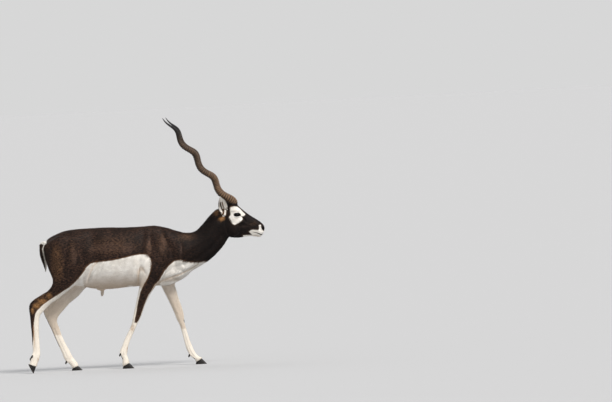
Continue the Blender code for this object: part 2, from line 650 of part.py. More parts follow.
def horn_loft(name, side, collection):
    """A coiled horn, ringed to near its tip and sunk into the head at its base."""
    middle, length, outward = horn_path(side)
    stops = [(-HORN_SUNK / length, 0.0)]
    for i in range(HORN_RINGS):
        low = HORN_RINGED * (i / HORN_RINGS) ** 0.94
        high = HORN_RINGED * ((i + 1) / HORN_RINGS) ** 0.94
        stops += [(low, -0.3), (low + 0.42 * (high - low), 1.0), (low + 0.72 * (high - low), 0.8)]
    stops += [(t, 0.0) for t in np.linspace(HORN_RINGED, 1.0, HORN_TIP_STEPS)]
    rings = []
    for t, ring in stops:
        here = middle(t)
        ahead = (middle(t + 0.004) - middle(t - 0.004)).normalized()
        first = (outward - outward.dot(ahead) * ahead).normalized()
        second = ahead.cross(first)
        fade = 1 - 0.5 * max(0.0, t) / HORN_RINGED
        radius = horn_radius(max(0.0, t)) + RING_HEIGHT * ring * fade
        loop = []
        for i in range(HORN_SIDES):
            swing = 2 * math.pi * i / HORN_SIDES
            spoke = first * math.cos(swing) + second * math.sin(swing)
            loop.append(tuple(here + spoke * radius))
        rings.append(loop)
    return loft(name, rings, collection)


def claw_loft(name, foot, side, inner, collection):
    """One hoof: a pointed sole on the ground and a wall that slopes back to the coronet."""
    heel, toe, out, height, heel_height, set_back, pitch = foot
    length = toe - heel
    rings = []
    # The sole, half way up the wall, and the coronet: height, setbacks behind and in front, and width.
    bottom = (0.0, 0.0, 0.0, 0.94)
    half_way = (0.5, 0.3 * CORONET_BACK, 0.48 * set_back, 1.0)
    top = (1.0, CORONET_BACK, set_back, 0.90)
    for level, back, front, wide in (bottom, half_way, top):
        loop = []
        for i in range(HOOF_SIDES):
            swing = 2 * math.pi * i / HOOF_SIDES
            near = (1 + math.cos(swing)) / 2
            x = back + (length - back - front) * near
            rise = level * (heel_height + (height - heel_height) * near)
            bulge = math.copysign(abs(math.sin(swing)) ** 0.85, math.sin(swing)) * (1 - 0.42 * near**2)
            loop.append((x, 0.5 * HOOF_WIDTH * wide * bulge, rise))
        rings.append(loop)
    claw = loft(name, rings, collection)
    sideways = side * (out + (-1 if inner else 1) * (HOOF_WIDTH + CLEFT) / 2)
    if pitch:
        tip = Matrix.Translation((-length, 0, 0))
        turn = Matrix.Rotation(math.radians(pitch), 4, "Y") @ tip
        place = Matrix.Translation((toe, sideways, -TOE_FLAT))
    else:
        turn = Matrix.Rotation(math.radians(HOOF_SPLAY) * side * (-1 if inner else 1), 4, "Z")
        place = Matrix.Translation((heel, sideways, 0))
    claw.data.transform(place @ turn)
    return claw


def lid_opening(side, collection):
    """An almond that runs out from inside the eyeball, through which the eye looks."""
    loops = []
    for depth, grow in zip(LID_REACH, (1, 1 + LID_FLARE)):
        loop = []
        for i in range(LID_SIDES):
            swing = 2 * math.pi * i / LID_SIDES
            x = LID_OPENING[0] * math.cos(swing) * grow
            z = LID_OPENING[1] * math.copysign(abs(math.sin(swing)) ** 1.25, math.sin(swing)) * grow
            loop.append((x, -depth, z))
        loops.append(loop)
    almond = loft("opening", loops, collection)
    ahead, up = (math.radians(a) for a in EYE_AIM)
    turn = Matrix.Rotation(ahead, 4, "Z") @ Matrix.Rotation(-up, 4, "X")
    turn = turn @ Matrix.Rotation(math.radians(LID_TURN), 4, "Y")
    if side > 0:
        turn = Matrix.Diagonal((1, -1, 1, 1)) @ turn
    almond.data.transform(Matrix.Translation((EYE_CENTRE[0], side * EYE_CENTRE[1], EYE_CENTRE[2])) @ turn)
    if side > 0:
        almond.data.flip_normals()
    return almond


def mouth_slit(side, collection):
    """A thin wedge along the line of the mouth, cut in from one side."""
    loops = []
    for x, z, surface in MOUTH:
        outer = side * (surface + MOUTH_CLEARANCE)
        inner = side * max(-0.001, surface - MOUTH_DEPTH)
        loops.append([(x, outer, z + MOUTH_HEIGHT), (x, inner, z), (x, outer, z - MOUTH_HEIGHT)])
    return loft("mouth", loops, collection)


def block(name, matrix, collection):
    """A box: a unit cube sized, turned and moved by a matrix."""
    bm = bmesh.new()
    bmesh.ops.create_cube(bm, size=1.0)
    bmesh.ops.transform(bm, matrix=matrix, verts=bm.verts)
    mesh = bpy.data.meshes.new(name)
    bm.to_mesh(mesh)
    bm.free()
    return new_object(name, mesh, collection)


def coronet_cutter(foot, side, collection):
    """A block whose top is the plane of the coronet: the leg ends just over the hooves."""
    heel, toe, out, height, heel_height, set_back, pitch = foot
    length = toe - heel
    slope = math.atan2(height - heel_height, length - CORONET_BACK - set_back)
    middle = Matrix.Translation((CORONET_BACK, 0, heel_height + GAP / math.cos(slope)))
    below = Matrix.Translation((CORONET_BLOCK_AHEAD, 0, -CORONET_BLOCK[2] / 2))
    turn = middle @ Matrix.Rotation(-slope, 4, "Y") @ below @ Matrix.Diagonal((*CORONET_BLOCK, 1))
    if pitch:
        tip = Matrix.Rotation(math.radians(pitch), 4, "Y") @ Matrix.Translation((-length, 0, 0))
        place = Matrix.Translation((toe, side * out, -TOE_FLAT)) @ tip
    else:
        place = Matrix.Translation((heel, side * out, 0))
    return block("coronet", place @ turn, collection)


def ground_cutter(toe, collection):
    """A block whose top is the floor, round the toe of a raised foot."""
    middle = Matrix.Translation((toe, 0, -GROUND_BLOCK[2] / 2))
    return block("ground", middle @ Matrix.Diagonal((*GROUND_BLOCK, 1)), collection)


def paint_pieces(part):
    """Gives each piece its own material and smooth shading."""
    for thing in part.objects:
        colour, roughness = LOOKS[thing.name.split("_")[0]]
        thing.data.materials.clear()
        thing.data.materials.append(material(thing.name, colour, roughness))
        thing.data.shade_smooth()


def material(name, colour, roughness):
    """A plain coat, horn or hoof surface."""
    paint = bpy.data.materials.new(name)
    paint.use_nodes = True
    shader = paint.node_tree.nodes["Principled BSDF"]
    shader.inputs["Base Color"].default_value = (*colour, 1)
    shader.inputs["Roughness"].default_value = roughness
    shader.inputs["Metallic"].default_value = 0.0
    return paint


def build_flesh(part, forms):
    """The flesh as one closed surface, thinned to the triangles it may have."""
    flesh_forms(forms)
    flesh = joined_copy("flesh", list(forms.objects), part)
    for thing in list(forms.objects):
        remove_form(thing)
    remesh = flesh.modifiers.new("join", "REMESH")
    remesh.mode = "VOXEL"
    remesh.voxel_size = VOXEL
    smooth = flesh.modifiers.new("smooth", "SMOOTH")
    smooth.factor = 0.5
    smooth.iterations = SMOOTHING
    apply_modifiers(flesh)
    keep_largest(flesh)
    # The head keeps more of its triangles than the trunk and the legs do.
    fine = flesh.vertex_groups.new(name="fine")
    weights = {}
    for v in flesh.data.vertices:
        spared = min(HEAD_KEPT, max(0.0, (v.co.x - HEAD_START) / 0.06))
        weights.setdefault(round(spared, 1), []).append(v.index)
    for weight, indices in weights.items():
        fine.add(indices, weight, "REPLACE")
    thin = flesh.modifiers.new("thin", "DECIMATE")
    thin.ratio = FLESH_TRIANGLES / (2 * len(flesh.data.polygons))
    thin.vertex_group = "fine"
    thin.vertex_group_factor = HEAD_FINENESS
    thin.invert_vertex_group = True
    apply_modifiers(flesh)
    return flesh


def part_flesh(flesh, part, forms):
    """Cuts the flesh along its seams and names the pieces."""
    cutters = [slab(name, top, bottom, SEAM_HALF_WIDTH, forms) for name, top, bottom in SEAMS]
    cutters += [dome(name + "_seam", *shape, forms) for name, shape in LEG_TOPS.items()]
    for cutter in cutters:
        cut(flesh, cutter)
        remove_form(cutter)
    pieces = split_flesh(flesh, PROBES, part)
    remove_form(flesh)
    for piece in pieces.values():
        keep_largest(piece)
    return pieces


def fit_head(head, neck, part, forms):
    """Sets eyes, horns and ears in the head, and cuts its lids, mouth and nostrils."""
    for side, word in ((1, "left"), (-1, "right")):
        centre = (EYE_CENTRE[0], side * EYE_CENTRE[1], EYE_CENTRE[2])
        eye = ball("eye_" + word, centre, (EYE_RADIUS,) * 3, part, 0, EYE_SEGMENTS)
        horn = horn_loft("horn_" + word, side, part)
        ear = ear_loft("ear_" + word, side, part)
        for thing in (eye, horn, ear):
            room = swollen(thing, GAP, forms)
            cut(head, room)
            if thing is ear:
                cut(neck, room)
            remove_form(room)
        place = (NOSTRIL[0], side * NOSTRIL[1], NOSTRIL[2])
        nostril = ball("nostril", place, NOSTRIL_RADII, forms, NOSTRIL_TURN, NOSTRIL_SEGMENTS)
        for cutter in (lid_opening(side, forms), mouth_slit(side, forms), nostril):
            cut(head, cutter)
            remove_form(cutter)
    keep_largest(head)


def fit_tail(torso, part, forms):
    """Hangs the tail in a room cut from the rump."""
    tail = body_loft("tail", TAIL, part, TAIL_STEPS, TAIL_SIDES)
    room = swollen(tail, GAP, forms)
    cut(torso, room)
    remove_form(room)
    keep_largest(torso)


def fit_foot(leg, limb, part, forms):
    """Ends a leg at its coronet, and gives it two hooves and two dewclaws."""
    foot = FEET[leg]
    side = 1 if leg.endswith("left") else -1
    toe, pitch = foot[1], foot[-1]
    for inner in (True, False):
        word = "inner" if inner else "outer"
        claw = claw_loft("hoof_" + leg + "_" + word, foot, side, inner, part)
        if pitch:
            ground = ground_cutter(toe, forms)
            cut(claw, ground)
            remove_form(ground)
        x, out, z = DEWCLAWS[leg][inner]
        name = "dewclaw_" + leg + "_" + word
        spur = ball(name, (x, side * out, z), DEWCLAW_RADII, part, DEWCLAW_TURN, DEWCLAW_SEGMENTS)
        room = swollen(spur, GAP, forms)
        cut(limb, room)
        remove_form(room)
    cutter = coronet_cutter(foot, side, forms)
    cut(limb, cutter)
    remove_form(cutter)
    keep_largest(limb)


def main():
    """Builds the whole animal."""
    for thing in list(bpy.data.objects):
        bpy.data.objects.remove(thing)
    part = bpy.data.collections.new("blackbuck")
    forms = bpy.data.collections.new("forms")
    for collection in (part, forms):
        bpy.context.scene.collection.children.link(collection)
    flesh = build_flesh(part, forms)
    pieces = part_flesh(flesh, part, forms)
    fit_head(pieces["head"], pieces["neck"], part, forms)
    fit_tail(pieces["torso"], part, forms)
    for leg in FEET:
        fit_foot(leg, pieces["leg_" + leg], part, forms)
    paint_pieces(part)


main()
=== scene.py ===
"""The coat, skin, horns, eyes and hooves of a walking blackbuck buck, around its solids, in metres.

The skin is one closed surface: lofts and muscles are joined and remeshed, ears and tail are united with
it, and grooves, lids, lips and nostrils are worked into it. Thin tufts lie on it along the lie of the coat.
Skin and tufts take their colours from the same marks, painted sheen and painted shade, kept on the skin
as distances and weights.
"""

import math

import bmesh
import bpy
import numpy as np
from mathutils import Matrix, Quaternion, Vector


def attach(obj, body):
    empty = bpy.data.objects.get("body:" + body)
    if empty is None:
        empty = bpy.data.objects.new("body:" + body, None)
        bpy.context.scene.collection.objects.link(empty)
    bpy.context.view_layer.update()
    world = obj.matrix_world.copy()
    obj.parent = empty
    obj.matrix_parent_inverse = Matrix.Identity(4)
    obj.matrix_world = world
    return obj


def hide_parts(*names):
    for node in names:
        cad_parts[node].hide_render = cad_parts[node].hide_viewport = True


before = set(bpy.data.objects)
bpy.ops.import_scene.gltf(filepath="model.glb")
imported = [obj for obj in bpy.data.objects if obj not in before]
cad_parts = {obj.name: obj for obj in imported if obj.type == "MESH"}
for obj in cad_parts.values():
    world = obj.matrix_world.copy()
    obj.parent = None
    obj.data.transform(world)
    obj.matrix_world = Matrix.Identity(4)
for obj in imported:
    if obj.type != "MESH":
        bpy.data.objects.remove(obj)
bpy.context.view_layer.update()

VOXEL = 0.0024  # cell of the remesh that joins the flesh
SMOOTHING = 15  # rounds of smoothing over the joined flesh
SKIN_TRIANGLES = 118000
HEAD_START = 0.455  # where along X the fine mesh of the head begins
RING_SIDES = 36
KEY_STEPS = 6  # sections from one key row of a loft to the next
LEG_SQUARENESS = 2.1  # 2 is an ellipse, and more is squarer
BODY_COAT = 0.0022  # how far the skin lies inside the outline of the trunk
LEG_COAT = 0.0010  # the same on the legs
PATCH = 0.003  # size of a tuft's place in the baked colours
DENSEST = 1.0e6  # tufts to a square metre, over what their spacing lets through
STRAY = 0.16  # how far a tuft strays from the lie of the coat
OWN_FACING = 0.28  # how much of a tuft's own facing shows, against the skin's

EYE_CENTRE = Vector((0.5195, 0.0310, 0.8115))
EYE_RADIUS = 0.0190
EYE_AIM = (14, 6)  # degrees that the eye looks forward and up, from straight out
LID_OPENING = (0.0165, 0.0088)  # half length and half height between the lids
LID_TURN = 10  # degrees that the line between the corners of the eye drops to the front

HORN_BASE = Vector((0.4935, 0.0268, 0.8840))
HORN_TIP = Vector((0.1520, 0.1980, 1.3680))
HORN_RADII = [
    (-0.05, 0.0138), (-0.02, 0.0192), (0.00, 0.0208), (0.10, 0.0188), (0.30, 0.0154),
    (0.55, 0.0137), (0.72, 0.0117), (0.82, 0.0092), (0.90, 0.0068), (0.96, 0.0045), (1.00, 0.0018),
]

HORN_LEAD = 0.05  # share of its length by which the table goes on below the base
HORN_WIDEST = 0.03  # radius that the horn's curve calls 1
HORN_COIL = 0.0120  # how far the coil swings off the straight line
HORN_BOW = 0.0065  # how far the whole horn bends back
HORN_PITCH = 0.1740  # length of one turn
HORN_PHASE = 0.004
HORN_RINGS = 50.0
HORN_RINGED = 0.80  # share of the horn that has rings
HORN_SUNK = 0.030  # length of the horn inside the head
RING_HEIGHT = 0.0024
# Painted light on the horns: the rings are painted lighter on the side that looks this way, roughly towards
# the key light, and darker away from it.
PAINTED_LIGHT_SIDE = (0.80, -0.45, 0.40)  # the way that the lighter side of the rings looks

EAR_ROOT = Vector((0.4520, 0.0350, 0.8220))
EAR_TIPS = {-1: Vector((0.4370, 0.1160, 0.9170)), 1: Vector((0.4640, 0.1080, 0.9060))}
EAR_FACING = Vector((0.60, 0.80, -0.25))
EAR_HALF_WIDTH = 0.0250
EAR_DEPTH = 0.0300
EAR_THICKNESS = 0.0028

HOOF_WIDTH = 0.0176
HOOF_SPLAY = 4  # degrees that each hoof of a pair turns away from the other
CLEFT = 0.0012  # gap between the two
CORONET_BACK = 0.0030
TOE_FLAT = 0.0012  # how deep a foot on its toe is pressed flat

# Trunk, neck and head are lofts on the middle plane. A section is the point on the top line, the point on
# the bottom line, the half width, where the widest place lies from bottom (0) to top (1), and how square it
# is above and below.
TRUNK = [
    ((-0.546, 0.716), (-0.540, 0.640), 0.020, 0.50, 2.0, 2.0),
    ((-0.522, 0.739), (-0.530, 0.575), 0.060, 0.50, 2.0, 2.0),
    ((-0.480, 0.758), (-0.500, 0.510), 0.084, 0.55, 2.1, 2.0),
    ((-0.425, 0.775), (-0.440, 0.476), 0.098, 0.58, 2.1, 2.0),
    ((-0.350, 0.781), (-0.355, 0.462), 0.098, 0.58, 2.1, 2.1),
    ((-0.285, 0.782), (-0.285, 0.445), 0.097, 0.52, 2.0, 2.2),
    ((-0.200, 0.781), (-0.200, 0.439), 0.108, 0.47, 1.95, 2.2),
    ((-0.100, 0.776), (-0.100, 0.445), 0.114, 0.47, 1.9, 2.2),
    ((0.000, 0.777), (-0.010, 0.447), 0.106, 0.47, 1.8, 2.1),
    ((0.060, 0.779), (0.060, 0.445), 0.094, 0.46, 1.7, 1.9),
    ((0.120, 0.767), (0.120, 0.443), 0.084, 0.46, 1.7, 1.8),
    ((0.165, 0.750), (0.180, 0.463), 0.074, 0.48, 1.8, 1.8),
    ((0.200, 0.735), (0.222, 0.486), 0.062, 0.48, 1.9, 1.8),
    ((0.225, 0.720), (0.258, 0.520), 0.042, 0.50, 1.9, 1.9),
]
NECK = [
    ((0.030, 0.760), (0.120, 0.480), 0.070, 0.50, 2.0, 2.0),
    ((0.120, 0.764), (0.205, 0.478), 0.078, 0.48, 2.0, 1.9),
    ((0.180, 0.744), (0.262, 0.518), 0.074, 0.48, 2.0, 2.0),
    ((0.235, 0.729), (0.318, 0.548), 0.066, 0.48, 2.0, 2.1),
    ((0.285, 0.736), (0.366, 0.578), 0.060, 0.48, 2.0, 2.1),
    ((0.325, 0.769), (0.407, 0.614), 0.056, 0.48, 2.0, 2.1),
    ((0.365, 0.812), (0.440, 0.650), 0.054, 0.50, 2.1, 2.1),
    ((0.405, 0.846), (0.468, 0.688), 0.052, 0.55, 2.2, 2.0),
    ((0.440, 0.858), (0.490, 0.700), 0.046, 0.58, 2.2, 2.0),
]
HEAD = [
    ((0.410, 0.842), (0.460, 0.700), 0.040, 0.55, 2.2, 2.0),
    ((0.442, 0.868), (0.480, 0.690), 0.047, 0.62, 2.4, 1.9),
    ((0.476, 0.882), (0.500, 0.686), 0.050, 0.66, 2.5, 1.8),
    ((0.510, 0.878), (0.524, 0.685), 0.049, 0.66, 2.5, 1.7),
    ((0.537, 0.853), (0.546, 0.687), 0.041, 0.62, 2.4, 1.7),
    ((0.565, 0.827), (0.568, 0.690), 0.034, 0.56, 2.3, 1.8),
    ((0.594, 0.804), (0.590, 0.691), 0.029, 0.52, 2.3, 2.0),
    ((0.622, 0.785), (0.611, 0.688), 0.0255, 0.50, 2.3, 2.1),
    ((0.645, 0.768), (0.631, 0.686), 0.0245, 0.50, 2.3, 2.1),
    ((0.661, 0.751), (0.646, 0.689), 0.0220, 0.50, 2.3, 2.1),
    ((0.669, 0.732), (0.658, 0.700), 0.013, 0.50, 2.0, 2.0),
]

# A leg is a loft too. A section is its front edge and its back edge in side view, how far out its middle is,
# and its half width. The right legs are the ones towards the viewer.
FORE_RIGHT = [
    ((0.155, 0.640), (0.022, 0.668), 0.066, 0.026),
    ((0.140, 0.575), (-0.008, 0.600), 0.072, 0.034),
    ((0.114, 0.515), (-0.028, 0.545), 0.072, 0.037),
    ((0.089, 0.478), (-0.032, 0.505), 0.068, 0.034),
    ((0.060, 0.450), (-0.032, 0.472), 0.066, 0.030),
    ((0.039, 0.423), (-0.036, 0.444), 0.064, 0.027),
    ((0.020, 0.396), (-0.043, 0.417), 0.062, 0.024),
    ((-0.009, 0.343), (-0.057, 0.362), 0.059, 0.0195),
    ((-0.031, 0.289), (-0.072, 0.306), 0.056, 0.0180),
    ((-0.043, 0.266), (-0.079, 0.280), 0.056, 0.0185),
    ((-0.055, 0.245), (-0.085, 0.258), 0.055, 0.0170),
    ((-0.065, 0.224), (-0.092, 0.236), 0.055, 0.0145),
    ((-0.081, 0.192), (-0.108, 0.204), 0.055, 0.0125),
    ((-0.102, 0.150), (-0.131, 0.162), 0.055, 0.0125),
    ((-0.115, 0.114), (-0.148, 0.124), 0.056, 0.0145),
    ((-0.1190, 0.090), (-0.1620, 0.094), 0.057, 0.0170),
    ((-0.1215, 0.074), (-0.1575, 0.072), 0.058, 0.0165),
    ((-0.1145, 0.050), (-0.1500, 0.047), 0.058, 0.0175),
    ((-0.1115, 0.036), (-0.1515, 0.026), 0.058, 0.0190),
    ((-0.1100, 0.024), (-0.1490, 0.010), 0.058, 0.0150),
]
FORE_LEFT = [
    ((0.185, 0.640), (0.040, 0.640), 0.066, 0.026),
    ((0.190, 0.570), (0.050, 0.560), 0.072, 0.034),
    ((0.178, 0.505), (0.062, 0.490), 0.068, 0.035),
    ((0.158, 0.450), (0.082, 0.432), 0.065, 0.030),
    ((0.165, 0.408), (0.100, 0.392), 0.062, 0.026),
    ((0.173, 0.370), (0.118, 0.352), 0.060, 0.023),
    ((0.184, 0.334), (0.133, 0.316), 0.057, 0.0195),
    ((0.193, 0.300), (0.145, 0.284), 0.056, 0.0180),
    ((0.197, 0.272), (0.153, 0.258), 0.055, 0.0185),
    ((0.198, 0.249), (0.163, 0.236), 0.055, 0.0170),
    ((0.201, 0.225), (0.172, 0.213), 0.055, 0.0145),
    ((0.210, 0.183), (0.181, 0.174), 0.055, 0.0125),
    ((0.222, 0.138), (0.191, 0.128), 0.055, 0.0125),
    ((0.232, 0.108), (0.197, 0.098), 0.056, 0.0145),
    ((0.242, 0.080), (0.206, 0.072), 0.057, 0.0170),
    ((0.256, 0.054), (0.218, 0.050), 0.058, 0.0165),
    ((0.272, 0.041), (0.233, 0.036), 0.058, 0.0175),
    ((0.2835, 0.036), (0.2455, 0.023), 0.058, 0.0190),
    ((0.2815, 0.024), (0.2490, 0.010), 0.058, 0.0150),
]
HIND_RIGHT = [
    ((-0.340, 0.735), (-0.470, 0.750), 0.055, 0.034),
    ((-0.318, 0.680), (-0.546, 0.700), 0.060, 0.046),
    ((-0.306, 0.620), (-0.5475, 0.640), 0.062, 0.050),
    ((-0.310, 0.570), (-0.5335, 0.580), 0.064, 0.050),
    ((-0.338, 0.526), (-0.5175, 0.535), 0.066, 0.045),
    ((-0.360, 0.498), (-0.5105, 0.510), 0.067, 0.040),
    ((-0.402, 0.461), (-0.515, 0.482), 0.066, 0.034),
    ((-0.444, 0.431), (-0.539, 0.451), 0.063, 0.027),
    ((-0.487, 0.402), (-0.574, 0.431), 0.060, 0.0215),
    ((-0.530, 0.374), (-0.612, 0.410), 0.057, 0.0185),
    ((-0.559, 0.347), (-0.638, 0.389), 0.055, 0.0180),
    ((-0.576, 0.331), (-0.6475, 0.367), 0.055, 0.0185),
    ((-0.587, 0.318), (-0.6475, 0.338), 0.055, 0.0180),
    ((-0.593, 0.302), (-0.645, 0.309), 0.055, 0.0165),
    ((-0.598, 0.264), (-0.644, 0.266), 0.055, 0.0145),
    ((-0.600, 0.209), (-0.641, 0.209), 0.055, 0.0130),
    ((-0.599, 0.154), (-0.641, 0.154), 0.055, 0.0130),
    ((-0.598, 0.120), (-0.640, 0.124), 0.056, 0.0145),
    ((-0.599, 0.098), (-0.6465, 0.100), 0.057, 0.0170),
    ((-0.606, 0.075), (-0.6535, 0.080), 0.058, 0.0165),
    ((-0.615, 0.056), (-0.658, 0.064), 0.058, 0.0175),
    ((-0.620, 0.040), (-0.664, 0.050), 0.058, 0.0190),
    ((-0.625, 0.026), (-0.664, 0.036), 0.058, 0.0150),
]
HIND_LEFT = [
    ((-0.330, 0.735), (-0.470, 0.750), 0.055, 0.034),
    ((-0.305, 0.680), (-0.544, 0.700), 0.060, 0.046),
    ((-0.290, 0.620), (-0.5445, 0.640), 0.062, 0.050),
    ((-0.282, 0.560), (-0.525, 0.580), 0.064, 0.050),
    ((-0.296, 0.505), (-0.482, 0.535), 0.066, 0.046),
    ((-0.318, 0.468), (-0.470, 0.500), 0.067, 0.040),
    ((-0.347, 0.441), (-0.477, 0.472), 0.066, 0.034),
    ((-0.384, 0.404), (-0.495, 0.446), 0.063, 0.028),
    ((-0.427, 0.373), (-0.522, 0.417), 0.060, 0.0220),
    ((-0.461, 0.338), (-0.551, 0.387), 0.057, 0.0185),
    ((-0.484, 0.315), (-0.571, 0.361), 0.055, 0.0180),
    ((-0.498, 0.295), (-0.577, 0.336), 0.055, 0.0185),
    ((-0.503, 0.278), (-0.570, 0.309), 0.055, 0.0180),
    ((-0.501, 0.262), (-0.556, 0.276), 0.055, 0.0165),
    ((-0.493, 0.240), (-0.538, 0.232), 0.055, 0.0145),
    ((-0.482, 0.200), (-0.520, 0.184), 0.055, 0.0130),
    ((-0.462, 0.150), (-0.500, 0.134), 0.055, 0.0130),
    ((-0.443, 0.112), (-0.486, 0.098), 0.056, 0.0145),
    ((-0.4315, 0.084), (-0.479, 0.074), 0.057, 0.0170),
    ((-0.4185, 0.062), (-0.4695, 0.055), 0.058, 0.0165),
    ((-0.4055, 0.045), (-0.4500, 0.038), 0.058, 0.0175),
    ((-0.3995, 0.030), (-0.4395, 0.024), 0.058, 0.0190),
    ((-0.3985, 0.020), (-0.4365, 0.010), 0.058, 0.0150),
]

# Muscles and bony places: centre, half sizes, and turn about Y in degrees. Each one off the middle plane is
# made on both sides.
MUSCLES = {
    "shoulder_blade": ((0.080, 0.056, 0.640), (0.052, 0.034, 0.100), -18),
    "upper_arm": ((0.055, 0.074, 0.560), (0.075, 0.034, 0.062), 25),
    "breast": ((0.175, 0.026, 0.520), (0.055, 0.034, 0.042), -40),
    "hip_bone": ((-0.335, 0.058, 0.718), (0.046, 0.028, 0.030), 0),
    "seat_bone": ((-0.508, 0.050, 0.690), (0.026, 0.026, 0.040), 0),
    "cheek": ((0.494, 0.030, 0.742), (0.040, 0.019, 0.046), -20),
    "brow": ((0.510, 0.036, 0.828), (0.030, 0.017, 0.022), 30),
    "lids": ((0.5195, 0.0310, 0.8115), (0.0235, 0.0232, 0.0205), 20),
    "pedicel": ((0.4995, 0.0225, 0.8650), (0.0270, 0.0250, 0.0225), 0),
    "cheekbone": ((0.535, 0.033, 0.782), (0.034, 0.011, 0.012), 30),
    "upper_lip": ((0.640, 0.013, 0.718), (0.024, 0.011, 0.014), 20),
    "chin": ((0.632, 0.000, 0.694), (0.018, 0.014, 0.010), 8),
    "sheath": ((-0.246, 0.000, 0.443), (0.026, 0.012, 0.011), 0),
    "sheath_tuft": ((-0.242, 0.000, 0.424), (0.0100, 0.0075, 0.024), 6),
}

# The tail hangs behind the rump, in the same kind of sections as the trunk.
TAIL = [
    ((-0.549, 0.722), (-0.530, 0.710), 0.0130, 0.5, 2.0, 2.0),
    ((-0.567, 0.711), (-0.545, 0.694), 0.0150, 0.5, 2.0, 2.0),
    ((-0.5735, 0.688), (-0.5525, 0.680), 0.0155, 0.5, 2.0, 2.0),
    ((-0.5745, 0.655), (-0.5510, 0.651), 0.0155, 0.5, 2.0, 2.0),
    ((-0.569, 0.625), (-0.5450, 0.620), 0.0135, 0.5, 2.0, 2.0),
    ((-0.560, 0.596), (-0.5420, 0.593), 0.0105, 0.5, 2.0, 2.0),
    ((-0.5535, 0.574), (-0.5440, 0.572), 0.0055, 0.5, 2.0, 2.0),
    ((-0.550, 0.561), (-0.5465, 0.561), 0.0020, 0.5, 2.0, 2.0),
]
MOUTH = [
    (0.594, 0.714, 0.0250), (0.606, 0.713, 0.0235), (0.618, 0.710, 0.0225), (0.630, 0.706, 0.0205),
    (0.642, 0.700, 0.0160), (0.652, 0.696, 0.0080), (0.664, 0.691, 0.0010),
]
MOUTH_DEPTH = 0.0045
MOUTH_HEIGHT = 0.0012
NOSTRIL = Vector((0.6600, 0.0165, 0.7315))
NOSTRIL_RADII = (0.0080, 0.0060, 0.0036)

# Valleys (height below 0) and ridges in the skin: side (0 for both), line in side view, width and height.
FOLDS = [
    (0, [(0.004, 0.740), (-0.012, 0.660), (-0.026, 0.590), (-0.030, 0.540)], 0.020, -0.0055),
    (0, [(0.030, 0.735), (0.026, 0.670), (0.020, 0.620)], 0.012, 0.0030),
    (0, [(0.100, 0.745), (0.138, 0.670), (0.165, 0.590), (0.160, 0.530)], 0.018, -0.0045),
    (0, [(0.060, 0.740), (0.086, 0.670), (0.112, 0.600), (0.126, 0.570)], 0.012, 0.0035),
    (0, [(0.010, 0.610), (0.045, 0.590), (0.080, 0.560), (0.100, 0.540)], 0.012, -0.0025),
    (0, [(0.205, 0.690), (0.212, 0.640), (0.206, 0.600)], 0.009, -0.0025),
    (-1, [(-0.026, 0.548), (-0.030, 0.520), (-0.038, 0.480), (-0.044, 0.450)], 0.006, -0.0040),
    (-1, [(-0.018, 0.556), (-0.004, 0.538), (0.002, 0.522)], 0.007, -0.0022),
    (0, [(-0.285, 0.725), (-0.270, 0.670), (-0.265, 0.615)], 0.036, -0.0080),
    (0, [(-0.250, 0.603), (-0.280, 0.572), (-0.302, 0.530), (-0.318, 0.490)], 0.009, -0.0045),
    (0, [(-0.230, 0.590), (-0.262, 0.560), (-0.290, 0.520)], 0.008, 0.0025),
    (0, [(-0.405, 0.735), (-0.425, 0.660), (-0.436, 0.580), (-0.440, 0.520)], 0.014, -0.0038),
    (0, [(-0.505, 0.690), (-0.508, 0.620), (-0.496, 0.540)], 0.009, -0.0038),
    (0, [(-0.362, 0.720), (-0.372, 0.650), (-0.386, 0.580)], 0.014, 0.0034),
    (0, [(-0.455, 0.720), (-0.470, 0.640), (-0.466, 0.560)], 0.016, 0.0024),
    (0, [(0.430, 0.705), (0.370, 0.640), (0.300, 0.590), (0.220, 0.552)], 0.012, -0.0048),
    (0, [(0.415, 0.765), (0.340, 0.690), (0.250, 0.640), (0.165, 0.600)], 0.016, 0.0035),
    (0, [(0.400, 0.815), (0.335, 0.750), (0.270, 0.705), (0.200, 0.705)], 0.013, -0.0034),
    (0, [(0.078, 0.468), (0.130, 0.485), (0.194, 0.504), (0.250, 0.530), (0.296, 0.553)], 0.006, -0.0050),
    (0, [(0.120, 0.520), (0.165, 0.542), (0.215, 0.556)], 0.010, -0.0025),
    (0, [(0.494, 0.700), (0.462, 0.725), (0.452, 0.770), (0.458, 0.800)], 0.007, -0.0030),
    (0, [(0.532, 0.706), (0.540, 0.738), (0.528, 0.762)], 0.006, -0.0014),
    (0, [(0.540, 0.778), (0.562, 0.764), (0.592, 0.750)], 0.005, 0.0020),
    (0, [(0.549, 0.801), (0.559, 0.792), (0.568, 0.779)], 0.0028, -0.0040),
    (0, [(0.498, 0.8370), (0.518, 0.8395), (0.538, 0.8300)], 0.0042, 0.0024),
    (0, [(0.500, 0.8290), (0.518, 0.8310), (0.536, 0.8220)], 0.0017, -0.0020),
    (0, [(0.503, 0.7960), (0.520, 0.7918), (0.537, 0.7955)], 0.0020, -0.0020),
    (0, [(0.510, 0.7855), (0.526, 0.7840)], 0.0030, -0.0010),
    (0, [(0.474, 0.842), (0.482, 0.828)], 0.010, -0.0035),
    (0, [(0.590, 0.728), (0.612, 0.729), (0.634, 0.722)], 0.005, 0.0016),
    (0, [(0.648, 0.743), (0.656, 0.741), (0.664, 0.733)], 0.0035, 0.0018),
    (0, [(0.640, 0.738), (0.643, 0.726), (0.650, 0.717)], 0.0035, -0.0020),
    (0, [(0.600, 0.760), (0.622, 0.748), (0.640, 0.742)], 0.006, -0.0014),
]
RIBS = [(-0.055 - 0.034 * i, 0.700, -0.085 - 0.038 * i, 0.560) for i in range(6)]
RIB_SPACE = (0.010, -0.0009)

